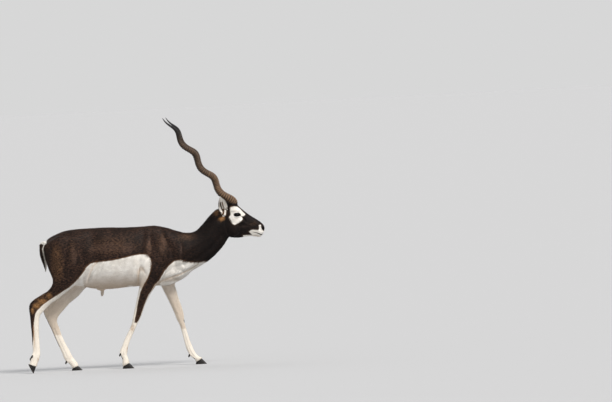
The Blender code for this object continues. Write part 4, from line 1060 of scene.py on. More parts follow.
def soften(skin, centre, reach, rounds):
    """Smooths the skin round a place, so that what was united there grows out of it."""
    bm = bmesh.new()
    bm.from_mesh(skin.data)
    near = [v for v in bm.verts if (v.co - centre).length < reach]
    for _ in range(rounds):
        bmesh.ops.smooth_vert(bm, verts=near, factor=0.5, use_axis_x=True, use_axis_y=True, use_axis_z=True)
    bm.to_mesh(skin.data)
    bm.free()


def trim_feet(skin):
    """Ends each leg at its coronet, just over the hooves."""
    for leg, foot in FEET.items():
        heel, toe, out, height, heel_height, set_back, pitch = foot
        side = LEGS[leg][1]
        length = toe - heel
        slope = math.atan2(height - heel_height, length - CORONET_BACK - set_back)
        middle = Matrix.Translation((CORONET_BACK, 0, heel_height - 0.0015))
        below = Matrix.Translation((0.03, 0, -0.05))
        turn = middle @ Matrix.Rotation(-slope, 4, "Y") @ below @ Matrix.Diagonal((0.16, 0.075, 0.10, 1))
        if pitch:
            tip = Matrix.Rotation(math.radians(pitch), 4, "Y") @ Matrix.Translation((-length, 0, 0))
            place = Matrix.Translation((toe, side * out, -TOE_FLAT)) @ tip
        else:
            place = Matrix.Translation((heel, side * out, 0))
        combine(skin, block(place @ turn), "DIFFERENCE")


def block(matrix):
    """A box: a unit cube sized, turned and moved by a matrix."""
    bm = bmesh.new()
    bmesh.ops.create_cube(bm, size=1.0)
    bmesh.ops.transform(bm, matrix=matrix, verts=bm.verts)
    return new_object("block", mesh_of(bm, "block"))


def keep_largest(thing):
    """Drops every closed surface of a mesh but the largest."""
    bm = bmesh.new()
    bm.from_mesh(thing.data)
    seen, islands = set(), []
    for face in bm.faces:
        if face in seen:
            continue
        seen.add(face)
        island, edge = [], [face]
        while edge:
            here = edge.pop()
            island.append(here)
            for side in here.edges:
                for other in side.link_faces:
                    if other not in seen:
                        seen.add(other)
                        edge.append(other)
        islands.append(island)
    islands.sort(key=len, reverse=True)
    bmesh.ops.delete(bm, geom=[f for island in islands[1:] for f in island], context="FACES")
    bm.to_mesh(thing.data)
    bm.free()


class Spine:
    """A line down the middle of a part of the body, which tells how far along it and round it a point is."""

    def __init__(self, points):
        self.points = np.array(points, float)
        steps = np.diff(self.points, axis=0)
        self.lengths = np.linalg.norm(steps, axis=1)
        self.ways = steps / self.lengths[:, None]
        self.starts = np.concatenate([[0], np.cumsum(self.lengths)])

    def locate(self, places):
        """For each place: how far along, how far away, and the spine's direction there."""
        best = np.full(len(places), np.inf)
        along = np.zeros(len(places))
        for i, (one, way, length) in enumerate(zip(self.points, self.ways, self.lengths)):
            share = np.clip((places - one) @ way, 0, length)
            gap = np.linalg.norm(places - one - share[:, None] * way, axis=1)
            closer = gap < best
            best[closer] = gap[closer]
            along[closer] = self.starts[i] + share[closer]
        way = np.empty_like(places)
        middles = (self.starts[:-1] + self.starts[1:]) / 2
        for axis in range(3):
            way[:, axis] = np.interp(along, middles, self.ways[:, axis])
        way /= np.linalg.norm(way, axis=1)[:, None]
        return along, best, way

    def at(self, along):
        """The point of the spine some way along it."""
        return np.stack([np.interp(along, self.starts, self.points[:, i]) for i in range(3)], axis=1)


BODY_SPINE = [
    (-0.560, 0.660), (-0.500, 0.640), (-0.420, 0.625), (-0.300, 0.615), (-0.100, 0.610),
    (0.050, 0.610), (0.140, 0.612), (0.215, 0.620), (0.275, 0.640), (0.325, 0.665), (0.370, 0.700),
    (0.405, 0.740), (0.440, 0.775), (0.480, 0.795), (0.520, 0.785), (0.560, 0.763), (0.600, 0.745),
    (0.665, 0.718),
]
LEG_CUTS = {"fore": 5, "hind": 6}  # the row where a leg leaves the trunk


def all_spines():
    """The spines of the body, the legs, the ears and the tail, by name."""
    spines = {"body": Spine([(x, 0, z) for x, z in BODY_SPINE])}
    for name, (rows, side, kind) in LEGS.items():
        middles = [(*row_point(row, 0.5), side * row[2]) for row in rows]
        spines[name] = Spine([(x, y, z) for x, z, y in middles])
    for side, word in ((1, "ear_left"), (-1, "ear_right")):
        root, along, across, facing, length = ear_frame(side)
        spines[word] = Spine([root, root + along * length])
    tail = [((a[0] + b[0]) / 2, 0, (a[1] + b[1]) / 2) for a, b, *_ in TAIL]
    spines["tail"] = Spine(tail)
    return spines


def find_regions(points):
    """The part of the body that each point belongs to: its place in the list of names."""
    names = ["body", *LEGS, "ear_left", "ear_right", "tail"]
    region = np.zeros(len(points), int)
    x, y, z = points.T
    for number, (name, (rows, side, kind)) in enumerate(LEGS.items(), 1):
        (x1, z1), (x2, z2) = rows[LEG_CUTS[kind]][:2]
        line = z1 + (x - x1) * (z2 - z1) / (x2 - x1)
        along, away, way = SPINES[name].locate(points)
        region[(z < line) & (y * side > 0.015) & (away < 0.10)] = number
    for number, side in ((5, 1), (6, -1)):
        root, along, across, facing, length = ear_frame(side)
        gap = points - np.array(root)
        t = gap @ np.array(along) / length
        sideways = np.abs(gap @ np.array(across))
        deep = np.abs(gap @ np.array(facing))
        region[(t > 0.26) & (t < 1.1) & (sideways < 0.036) & (deep < 0.045) & (y * side > 0.045)] = number
    region[(x < -0.5475) & (z > 0.57) & (z < 0.725) & (np.abs(y) < 0.022)] = 7
    return region, names


def tile_places(points, normals, region, names):
    """Where each point lies on the unwrapped skin: its part's own strip, along and round its spine."""
    strips = {
        "body": (0.0, 0.0, 1.0, 0.62),
        "front_right": (0.0, 0.64, 0.49, 0.11),
        "front_left": (0.51, 0.64, 0.49, 0.11),
        "hind_right": (0.0, 0.76, 0.49, 0.11),
        "hind_left": (0.51, 0.76, 0.49, 0.11),
        "ear_left": (0.0, 0.88, 0.14, 0.12),
        "ear_right": (0.30, 0.88, 0.14, 0.12),
        "tail": (0.62, 0.88, 0.30, 0.12),
    }
    places = np.zeros((len(points), 2))
    for number, name in enumerate(names):
        index = np.nonzero(region == number)[0]
        if not len(index):
            continue
        spine = SPINES[name]
        along, away, way = spine.locate(points[index])
        spoke = points[index] - spine.at(along)
        spoke -= (spoke * way).sum(axis=1)[:, None] * way
        up = np.cross(way, [0.0, 1.0, 0.0])
        if name.startswith("ear"):
            side = 1 if name == "ear_left" else -1
            up = np.tile(np.array(ear_frame(side)[3]), (len(index), 1))
        up /= np.linalg.norm(up, axis=1)[:, None]
        turn = np.arctan2((spoke * np.cross(way, up)).sum(axis=1), (spoke * up).sum(axis=1))
        left, low, wide, high = strips[name]
        share = along / spine.starts[-1]
        if name.startswith("ear"):
            inner = (normals[index] * up).sum(axis=1) > 0.25
            left = left + 0.15 * inner
        places[index, 0] = left + wide * (0.01 + 0.98 * share)
        places[index, 1] = low + high * (0.5 + 0.49 * turn / math.pi)
    return places


def lie_of_coat(points, normals, region, names):
    """The direction in which the hair lies at each point: back along the body, and down the legs."""
    x, y, z = points.T
    along, away, way = SPINES["body"].locate(points)
    lie = -way
    down = np.clip(np.abs(normals[:, 1]), 0, 1) * 0.45
    down = down * (1 - smooth_step(x, 0.47, 0.52))
    lie[:, 2] -= down
    rump = 1 - smooth_step(x, -0.53, -0.44)
    lie = lie * (1 - rump)[:, None] + rump[:, None] * np.array([-0.3, 0.0, -1.0])
    for number, name in enumerate(names[1:5], 1):
        rows, side, kind = LEGS[name]
        along, away, way = SPINES[name].locate(points)
        near = 1 - smooth_step(away, 0.070, 0.115)
        share = near * (1 - smooth_step(z, 0.47, 0.62)) * (y * side > 0.0)
        share = np.maximum(share, region == number)
        lie = lie * (1 - share)[:, None] + way * share[:, None]
    for number, side in ((5, 1), (6, -1)):
        lie[region == number] = np.array(ear_frame(side)[1])
    along, away, way = SPINES["tail"].locate(points)
    lie[region == 7] = way[region == 7]
    lie -= (lie * normals).sum(axis=1)[:, None] * normals
    lie /= np.maximum(np.linalg.norm(lie, axis=1), 1e-6)[:, None]
    return lie


def hair_lengths(points, region):
    """How long the hair is at each point."""
    x, y, z = points.T
    length = np.full(len(points), BODY_HAIR)
    length += (NECK_HAIR - BODY_HAIR) * smooth_step(x, 0.15, 0.25)
    length -= (NECK_HAIR - FACE_HAIR) * smooth_step(x, 0.43, 0.53)
    low = (region == 0) * (x < 0.3) * (1 - smooth_step(z, 0.42, 0.52))
    length -= (BODY_HAIR - BELLY_HAIR) * low
    legs = (region >= 1) & (region <= 4)
    length[legs] = FOOT_HAIR + (KNEE_HAIR - FOOT_HAIR) * smooth_step(z[legs], 0.15, 0.48)
    length[(region == 5) | (region == 6)] = EAR_HAIR
    length[region == 7] = TAIL_HAIR
    for side in (1, -1):
        gap = np.linalg.norm(points - np.array(mirrored(EAR_ROOT, side)), axis=1)
        length = np.where(region == 0, length * (0.45 + 0.55 * smooth_step(gap, 0.02, 0.06)), length)
    sheath = (np.abs(x + 0.243) < 0.02) & (z < 0.437) & (np.abs(y) < 0.02)
    length[sheath] = SHEATH_HAIR
    bottom = (x > -0.33) & (x < -0.20) & (z < 0.45) & (np.abs(y) < 0.02)
    length[bottom & ~sheath] = BEHIND_SHEATH_HAIR
    return length


def dark_outline(side):
    """The edge of the dark coat in side view: round the flank, down and up each leg, and over the back."""
    fore, hind = (FORE_RIGHT, HIND_RIGHT) if side < 0 else (FORE_LEFT, HIND_LEFT)
    edge = list(FLANK[side])
    edge += [row_point(fore[i], back) for i, front, back in FORE_STRIPE[side]]
    edge += [row_point(fore[i], front) for i, front, back in FORE_STRIPE[side][::-1]]
    edge += CHEST[side]
    edge += [(0.400, 0.550), (0.750, 0.600), (0.750, 1.000), (-0.720, 1.000), (-0.720, 0.620)]
    edge += [row_point(hind[i], 1.3) for i, front in HIND_STRIPE]
    edge += [row_point(hind[i], front) for i, front in HIND_STRIPE[::-1]]
    return edge


def soft_spots(points, normals, spots):
    """The sum of soft spots at each point, from their middles and sizes in side view."""
    total = np.zeros(len(points))
    for side, centre, radii, strength in spots:
        gap = np.hypot((points[:, 0] - centre[0]) / radii[0], (points[:, 2] - centre[1]) / radii[1])
        here = strength * (1 - smooth_step(gap, 0.35, 1.25))
        if side:
            here = here * (points[:, 1] * side > 0.0) * smooth_step(normals[:, 1] * side, -0.35, -0.05)
        total = np.maximum(total, here)
    return total


def ink_distance(points):
    """How far inside a black mark each point is: mouth, nostrils, eye rims and small spots on the legs."""
    plane = points[:, [0, 2]]
    thick = 0.0010 + 0.0018 * smooth_step(plane[:, 0], 0.600, 0.645)
    mouth = thick - path_distance(plane, [(x, z - 0.0006) for x, z, _ in MOUTH])
    mouth -= 0.004 * (1 - smooth_step(plane[:, 0], 0.594, 0.602))
    best = mouth
    for side, centre, radii, strength in INK_SPOTS:
        gap = np.hypot((plane[:, 0] - centre[0]) / radii[0], (plane[:, 1] - centre[1]) / radii[1])
        here = (strength - gap) * min(radii)
        if side:
            here = np.where(points[:, 1] * side > 0.0, here, -0.02)
        best = np.maximum(best, here)
    for side, line, half in INK_LINES:
        here = half - path_distance(plane, line)
        best = np.maximum(best, np.where(points[:, 1] * side > 0.0, here, -0.02))
    for side in (1, -1):
        local = np.array(eye_place(side).inverted())
        gaze = points @ local[:3, :3].T + local[:3, 3]
        rim = 1 - np.hypot(gaze[:, 0] / (LID_OPENING[0] + 0.0046), gaze[:, 2] / (LID_OPENING[1] + 0.0020))
        rim = np.where(gaze[:, 1] < 0, rim * 0.011, -0.02)
        notch = 0.0016 - path_distance(plane, [(0.536, 0.8075), (0.545, 0.8035), (0.553, 0.8005)])
        notch = np.where(points[:, 1] * side > 0.0, notch, -0.02)
        inside = EYE_RADIUS + 0.0016 - np.linalg.norm(points - np.array(mirrored(EYE_CENTRE, side)), axis=1)
        best = np.maximum.reduce([best, rim, notch, inside])
    nose = 0.0065 - np.linalg.norm(points - np.array([0.6665, 0.0, 0.7270]), axis=1)
    return np.maximum(best, nose)


def marks_and_painted_light(points, normals, region):
    """The coat's marks at each point, with its painted sheen and painted shade, by name: distances in metres
    and weights from 0 to 1.
    """
    x, y, z = points.T
    plane = points[:, [0, 2]]
    dark = np.empty(len(points))
    for side in (-1, 1):
        here = (y * side > 0) if side > 0 else (y <= 0)
        dark[here] = inside_distance(plane[here], dark_outline(side))
    inner = (np.abs(y) - 0.054) + 6 * np.maximum(0, z - 0.50) + 6 * np.maximum(0, x - 0.30)
    inward = -normals[:, 1] * np.sign(y)
    rear = 0.006 * np.clip(-normals[:, 0] * 2 - 0.6, 0, 1) * (z < 0.46)
    inner = np.minimum(inner, 0.012 * (0.20 - inward) + 6 * np.maximum(0, z - 0.50)) + rear
    dark = np.minimum(dark, inner)
    pale = -dark
    half = np.interp(z, RUMP_HEIGHTS, RUMP_HALVES)
    rump = np.minimum(half - np.abs(y), np.minimum(-0.43 - x, z - 0.42))
    pale = np.maximum(pale, rump)
    ring = inside_distance(plane, EYE_PATCH)
    lips = inside_distance(plane, LIP_PATCH)
    pale = np.maximum(pale, np.maximum(ring, lips))
    throat = np.minimum(np.minimum(0.698 - z, x - 0.548), 0.022 - np.abs(y))
    pale = np.maximum(pale, throat)
    band = 0.0042 - path_distance(plane, EAR_BAND)
    pale = np.maximum(pale, np.where(normals[:, 0] > -0.2, band, -0.02))
    pale, ink = ear_marks(points, normals, region, pale, ink_distance(points))
    tail = region == 7
    top = np.maximum(z - 0.712, 0.004 * (normals[:, 0] * 2 - 0.8))
    pale = np.where(tail, top, pale)
    tan = soft_spots(points, normals, TAN_SPOTS)
    # Coppery brown: partly the coat's own colour, partly painted sheen.
    warm = soft_spots(points, normals, COPPER_AND_SHEEN_SPOTS)
    # Painted sheen on the dark coat, from its spots.
    gloss = soft_spots(points, normals, PAINTED_SHEEN_SPOTS)
    # Painted shade on the lower belly, deepest at the bottom.
    belly = 0.75 * (1 - smooth_step(z, 0.445, 0.545)) * (x > -0.34) * (x < 0.08) * (region == 0)
    shade = np.maximum(soft_spots(points, normals, PAINTED_SHADE_SPOTS), belly)
    for side, line, half, strength in CREASES:
        here = strength * (1 - smooth_step(path_distance(plane, line), 0.3 * half, 1.6 * half))
        shade = np.maximum(shade, here * (points[:, 1] * side >= 0.0))
    # Painted shade on the faces of the legs that look inwards, between 0.20 and 0.48 m high.
    shade = np.maximum(shade, 0.5 * smooth_step(inward, 0.2, 0.8) * (z < 0.48) * (z > 0.20))
    # Painted shade on the sheath under the belly.
    shade = np.where((x > -0.27) & (x < -0.21) & (z < 0.432) & (np.abs(y) < 0.02), 0.6, shade)
    return {"pale": pale, "ink": ink, "tan": tan, "warm": warm, "gloss": gloss, "shade": shade}


def ear_marks(points, normals, region, pale, ink):
    """White inside the ear and at its tip, black in its cup, and dark behind."""
    scalp = 0.001 + 0.050 * np.sqrt(np.clip(1 - ((points[:, 2] - 0.80) / 0.082) ** 2, 0, 1))
    for number, side in ((5, 1), (6, -1)):
        root, along, across, facing, length = ear_frame(side)
        gap = points - np.array(root)
        t = gap @ np.array(along) / length
        sideways = gap @ np.array(across) * side
        deep = np.abs(gap @ np.array(facing))
        lobe = (t > 0.10) & (t < 0.60) & (np.abs(sideways) < 0.022) & (deep < 0.024)
        lobe &= (region == 0) & (points[:, 1] * side > scalp)
        inner = normals @ np.array(facing) > np.where(t < 0.55, -0.35, 0.15)
        mark = np.maximum(np.where(inner, 0.006, -0.006), (t - 0.84) * 0.03)
        mark = np.minimum(mark, (t - 0.15) * 0.06)
        ear = (region == number) | lobe
        pale = np.where(ear, mark, pale)
        place = np.stack([t * length, sideways], axis=1)
        for (t1, u1), (t2, u2), half in EAR_STRIPES:
            stripe = half - path_distance(place, [(t1 * length, u1), (t2 * length, u2)])
            stripe = np.where(inner & ear, stripe, -0.02)
            pale = np.where(ear, np.minimum(pale, -stripe), pale)
            ink = np.maximum(ink, stripe - 0.0016)
    return pale, ink


def keep_values(mesh, values):
    """Stores values on the points of a mesh by name."""
    for name, value in values.items():
        value = np.ascontiguousarray(value, dtype=float)
        if value.ndim == 1:
            mesh.attributes.new(name, "FLOAT", "POINT").data.foreach_set("value", value)
        else:
            mesh.attributes.new(name, "FLOAT_VECTOR", "POINT").data.foreach_set("vector", value.ravel())


def keep_places(mesh, regions, names):
    """Stores where each corner of the skin lies when it is unwrapped, with no face across a seam."""
    mesh.calc_loop_triangles()
    points, normals = coords(mesh), coords(mesh, True)
    corner_points = np.empty(len(mesh.loops), int)
    mesh.loops.foreach_get("vertex_index", corner_points)
    starts = np.empty(len(mesh.polygons), int)
    mesh.polygons.foreach_get("loop_start", starts)
    totals = np.empty(len(mesh.polygons), int)
    mesh.polygons.foreach_get("loop_total", totals)
    face_of = np.repeat(np.arange(len(starts)), totals)
    face_region = regions[corner_points[starts]]
    corner_region = face_region[face_of]
    places = tile_places(points[corner_points], normals[corner_points], corner_region, names)
    first = places[starts][face_of]
    high = np.where(corner_region == 0, 0.62, np.where(corner_region <= 4, 0.11, 0.12)) * 0.98
    jump = places[:, 1] - first[:, 1]
    places[:, 1] -= high * np.round(jump / high)
    flat = np.zeros((len(places), 3))
    flat[:, :2] = places
    mesh.attributes.new("root_place", "FLOAT_VECTOR", "CORNER").data.foreach_set("vector", flat.ravel())
    return face_region


def build_skin():
    """The whole skin with its marks, painted sheen and painted shade kept on it."""
    skin = join_flesh()
    refine_head(skin)
    sink_skin(skin.data)
    work_folds(skin.data)
    thin_skin(skin)
    fit_head(skin)
    trim_feet(skin)
    keep_largest(skin)
    for side in (1, -1):
        root, along, across, facing, length = ear_frame(side)
        soften(skin, root + along * (0.12 * length), 0.024, 3)
    soften(skin, Vector((-0.548, 0, 0.715)), 0.022, 3)
    mesh = skin.data
    points, normals = coords(mesh), coords(mesh, True)
    region, names = find_regions(points)
    values = marks_and_painted_light(points, normals, region)
    values["lie"] = lie_of_coat(points, normals, region, names)
    values["hair"] = hair_lengths(points, region)
    gap = np.stack([np.linalg.norm(points - np.array(mirrored(EYE_CENTRE, s)), axis=1) for s in (1, -1)])
    lids = smooth_step(gap.min(axis=0), EYE_RADIUS + 0.0010, EYE_RADIUS + 0.0040)
    values["cover"] = lids * (values["ink"] < 0.001)
    keep_values(mesh, values)
    face_region = keep_places(mesh, region, names)
    mesh.shade_smooth()
    return skin, face_region


def coat_colour(tree):
    """The colour of the coat, the same on skin and tufts, from the marks, painted sheen and painted shade
    that the mesh keeps, and the place that its patterns read."""
    place = tree.add("ShaderNodeTexCoord", None, None, "Object")
    fine = tree.noise(place, 420.0, 2.0)
    broad = tree.noise(place, 26.0, 3.0)
    streak = tree.noise(tree.stretched(place, (0.8, 2.2, 2.2)), 100.0, 3.0, 0.65)
    ahead = tree.add("ShaderNodeSeparateXYZ", None, {0: place}, "X")
    high = tree.add("ShaderNodeSeparateXYZ", None, {0: place}, "Z")
    face = ahead.step(0.44, 0.49)
    plain = (1 - ahead.step(-0.50, -0.46)) * high.step(0.50, 0.56)
    ragged = ((fine - 0.5) * 0.0060 + (broad - 0.5) * 0.0050) * (1 - face * 0.65)
    pale = (tree.attribute("pale") + ragged).step(-0.0018, 0.0018)
    fringe = (tree.attribute("pale") + ragged).step(-0.0095, -0.0010)
    ink = (tree.attribute("ink") + ragged * 0.15).step(-0.0006, 0.0006)
    # Coppery brown over the dark coat: partly the coat's own colour, partly painted sheen.
    warm = (tree.attribute("warm") * (0.35 + broad * 1.3)).clamped()
    tan = (tree.attribute("tan") * (0.40 + streak.step(0.32, 0.68) * 0.75)).clamped()
    dark = tree.blend(streak.step(0.34, 0.78), (0.0050, 0.0032, 0.0028), (0.088, 0.0450, 0.0300))
    cloud = tree.noise(place, 15.0, 2.0).step(0.46, 0.64) * 0.45
    dark = tree.blend(cloud, dark, (0.0050, 0.0034, 0.0030))
    # Painted sheen: lighter patches laid over the dark coat.
    gloss = tree.attribute("gloss") * (0.35 + streak.step(0.35, 0.65) * 0.65)
    dark = tree.blend(gloss, dark, (0.130, 0.0780, 0.0610))
    dark = tree.blend(ahead.step(0.12, 0.34) * 0.80, dark, (0.0046, 0.0034, 0.0034))
    dark = tree.blend(warm * streak.step(0.34, 0.66), dark, (0.150, 0.078, 0.040))
    seam = fringe * (0.50 - face * 0.38) * (1 - plain) * (0.45 + high.step(0.40, 0.52) * 0.55)
    dark = tree.blend(seam, dark, (0.230, 0.115, 0.050))
    white = tree.blend(broad.step(0.35, 0.70), (0.830, 0.785, 0.720), (0.930, 0.895, 0.840))
    white = tree.blend((1 - high.step(0.30, 0.46)) * 0.75, white, (0.900, 0.815, 0.700))
    # Painted shade on the white, in a brown tone as from light thrown up off the ground.
    white = tree.blend(tree.attribute("shade"), white, (0.440, 0.318, 0.215))
    colour = tree.blend(pale, dark, white)
    colour = tree.blend(tan, colour, (0.400, 0.200, 0.075))
    colour = tree.blend(ink, colour, (0.0050, 0.0045, 0.0045))
    return colour, place


def finish_skin():
    """Short hair on the skin: its colours, and fine strokes as bumps."""
    paint, tree, shader = material("skin_coat")
    colour, place = coat_colour(tree)
    strokes = tree.noise(tree.stretched(place, (0.30, 1.0, 1.0)), 900.0, 2.0)
    bump = tree.add("ShaderNodeBump", None, {"Strength": 0.45, "Distance": 0.0012, "Height": strokes})
    inputs = {"Base Color": colour, "Roughness": 0.65, "Specular IOR Level": 0.14, "Normal": bump}
    tree.fill(shader, inputs)
    return paint


def finish_tufts():
    """The same colours on the tufts, each darkened a little by its own tone."""
    paint, tree, shader = material("tuft_coat")
    colour, _ = coat_colour(tree)
    colour = tree.blend(tree.attribute("tone") * 0.16, colour, (0.0, 0.0, 0.0))
    tree.fill(shader, {"Base Color": colour, "Roughness": 0.55, "Specular IOR Level": 0.15})
    return paint


def tuft_form():
    """One tuft, a flat closed spindle one unit long, with its place on its own patch kept on it."""
    corners = [(0, 0, 0), (-0.5, 0.10, 0.34), (0.5, 0.10, 0.34), (0, 0.75, 0.40), (0, 0.35, 1.0)]
    faces = [(0, 2, 1), (0, 1, 3), (0, 3, 2), (4, 1, 2), (4, 3, 1), (4, 2, 3)]
    mesh = bpy.data.meshes.new("tuft")
    mesh.from_pydata(corners, [], faces)
    bm = bmesh.new()
    bm.from_mesh(mesh)
    bmesh.ops.recalc_face_normals(bm, faces=bm.faces)
    bm.to_mesh(mesh)
    bm.free()
    keep_values(mesh, {"patch": [(x + y * 0.4, z - 0.5, 0) for x, y, z in corners]})
    return new_object("tuft", mesh)


def tuft_group():
    """Tufts over a skin: scattered, laid along the lie of the coat, and given their patches."""
    sockets = {
        "Tuft": "Object",
        "Spacing": "Float",
        "Seed": "Int",
        "Width": "Float",
        "Lean": "Float",
        "Sink": "Float",
        "Paint": "Material",
    }
    group, tree, wires, close = geometry_group("tufts", sockets)
    inputs = {"Mesh": wires["Geometry"], "Distance Min": wires["Spacing"], "Density Max": DENSEST}
    inputs |= {"Density Factor": tree.named("cover", "FLOAT"), "Seed": wires["Seed"]}
    settings = {"distribute_method": "POISSON"}
    spread = tree.add("GeometryNodeDistributePointsOnFaces", settings, inputs, "Points")
    normal = spread.output("Normal")
    stray = random_vector(tree, wires["Seed"], STRAY)
    way = tree.total(tree.named("lie"), tree.scaled(normal, wires["Lean"]))
    way = tree.total(way, stray)
    settings = {"primary_axis": "Z", "secondary_axis": "Y"}
    turn = tree.add("FunctionNodeAxesToRotation", settings, {"Primary Axis": way, "Secondary Axis": normal})
    long = tree.named("hair", "FLOAT") * random_value(tree, 0.75, 1.25, wires["Seed"])
    wide = wires["Width"] * random_value(tree, 0.8, 1.2, wires["Seed"] + 7)
    size = tree.add("ShaderNodeCombineXYZ", None, {"X": wide, "Y": wide * 0.55, "Z": long})
    form = tree.add("GeometryNodeObjectInfo", None, {"Object": wires["Tuft"]}, "Geometry")
    below = tree.scaled(normal, wires["Sink"] * -1.0)
    sunk = tree.add("GeometryNodeSetPosition", None, {"Geometry": spread, "Offset": below})
    sunk = tree.kept(sunk, "outward", normal, "FLOAT_VECTOR", "POINT")
    inputs = {"Points": sunk, "Instance": form, "Rotation": turn, "Scale": size}
    placed = tree.add("GeometryNodeInstanceOnPoints", None, inputs)
    tone = random_value(tree, 0.0, 1.0, wires["Seed"] + 3)
    placed = tree.kept(placed, "tone", tone, "FLOAT", "INSTANCE")
    real = tree.add("GeometryNodeRealizeInstances", None, {"Geometry": placed})
    place = tree.total(tree.named("root_place"), tree.scaled(tree.named("patch"), PATCH))
    real = tree.kept(real, "OFBake", place, "FLOAT2", "CORNER")
    outward = tree.named("outward")
    own = tree.add("GeometryNodeInputNormal")
    own = tree.add("GeometryNodeFieldOnDomain", {"data_type": "FLOAT_VECTOR", "domain": "FACE"}, {0: own})
    toward = tree.scaled(outward, tree.dot(own, outward).step(0.0, 0.1))
    shown = tree.total(toward, tree.scaled(own, OWN_FACING))
    shown = tree.add("ShaderNodeVectorMath", {"operation": "NORMALIZE"}, {0: shown})
    real = tree.add("GeometryNodeSetShadeSmooth", None, {"Geometry": real})
    settings = {"mode": "FREE", "domain": "CORNER"}
    real = tree.add("GeometryNodeSetMeshNormal", settings, {"Mesh": real, "Custom Normal": shown})
    for name in ("root_place", "patch", "lie", "hair", "cover", "outward"):
        real = tree.add("GeometryNodeRemoveAttribute", None, {"Geometry": real, "Name": name})
    close(real, wires["Paint"])
    return group


def random_value(tree, low, high, seed):
    """A number for each tuft."""
    return tree.add("FunctionNodeRandomValue", {"data_type": "FLOAT"}, {2: low, 3: high, "Seed": seed}, 1)


def random_vector(tree, seed, reach):
    """A small vector for each tuft."""
    inputs = {0: (-reach,) * 3, 1: (reach,) * 3, "Seed": seed}
    return tree.add("FunctionNodeRandomValue", {"data_type": "FLOAT_VECTOR"}, inputs, 0)


def coat_source(skin, name, chosen):
    """A copy of some faces of the skin."""
    bm = bmesh.new()
    bm.from_mesh(skin.data)
    bm.faces.ensure_lookup_table()
    bmesh.ops.delete(bm, geom=[bm.faces[i] for i in np.nonzero(~chosen)[0]], context="FACES")
    return mesh_of(bm, name)


# A coat piece: its name, its slot, the regions it covers, where it starts and ends along X, and the spacing,
# width, lean and depth of its tufts.
COATS = [
    ("coat_rump", "dark_coat", (0,), (-1.0, -0.385), 0.0019, 0.0015, 0.08, 0.0006),
    ("coat_loin", "dark_coat", (0,), (-0.385, -0.240), 0.0019, 0.0015, 0.08, 0.0006),
    ("coat_flank", "dark_coat", (0,), (-0.240, -0.095), 0.0019, 0.0015, 0.08, 0.0006),
    ("coat_ribs", "dark_coat", (0,), (-0.095, 0.035), 0.0019, 0.0015, 0.08, 0.0006),
    ("coat_shoulder", "dark_coat", (0,), (0.035, 0.180), 0.0019, 0.0015, 0.08, 0.0006),
    ("coat_neck", "dark_coat", (0,), (0.180, 0.455), 0.0019, 0.0015, 0.08, 0.0006),
    ("coat_face", "face_coat", (0,), (0.455, 1.0), 0.0015, 0.0009, 0.06, 0.0002),
    ("coat_fore_legs", "leg_coat", (1, 2), (-1.0, 1.0), 0.0015, 0.0009, 0.05, 0.0002),
    ("coat_hind_legs", "leg_coat", (3, 4), (-1.0, 1.0), 0.0017, 0.0010, 0.05, 0.0002),
    ("coat_ears", "face_coat", (5, 6), (-1.0, 1.0), 0.0015, 0.0008, 0.07, 0.0002),
    ("coat_tail", "dark_coat", (7,), (-1.0, 1.0), 0.0014, 0.0015, 0.10, 0.0004),
]


def build_coat(skin, face_region):
    """Every coat piece on its part of the skin."""
    group = tuft_group()
    tuft = tuft_form()
    paint = finish_tufts()
    centres = np.empty(len(skin.data.polygons) * 3)
    skin.data.polygons.foreach_get("center", centres)
    x = centres.reshape(-1, 3)[:, 0]
    pieces = []
    for seed, (name, slot, regions, (start, end), spacing, width, lean, sink) in enumerate(COATS, 1):
        chosen = np.isin(face_region, regions) & (x >= start) & (x < end)
        source = coat_source(skin, name, chosen)
        values = {
            "Tuft": tuft,
            "Spacing": spacing,
            "Seed": seed,
            "Width": width,
            "Lean": lean,
            "Sink": sink,
            "Paint": paint,
        }
        piece = grow(name, source, group, values)
        pieces.append((piece, slot))
    remove_form(tuft)
    return pieces


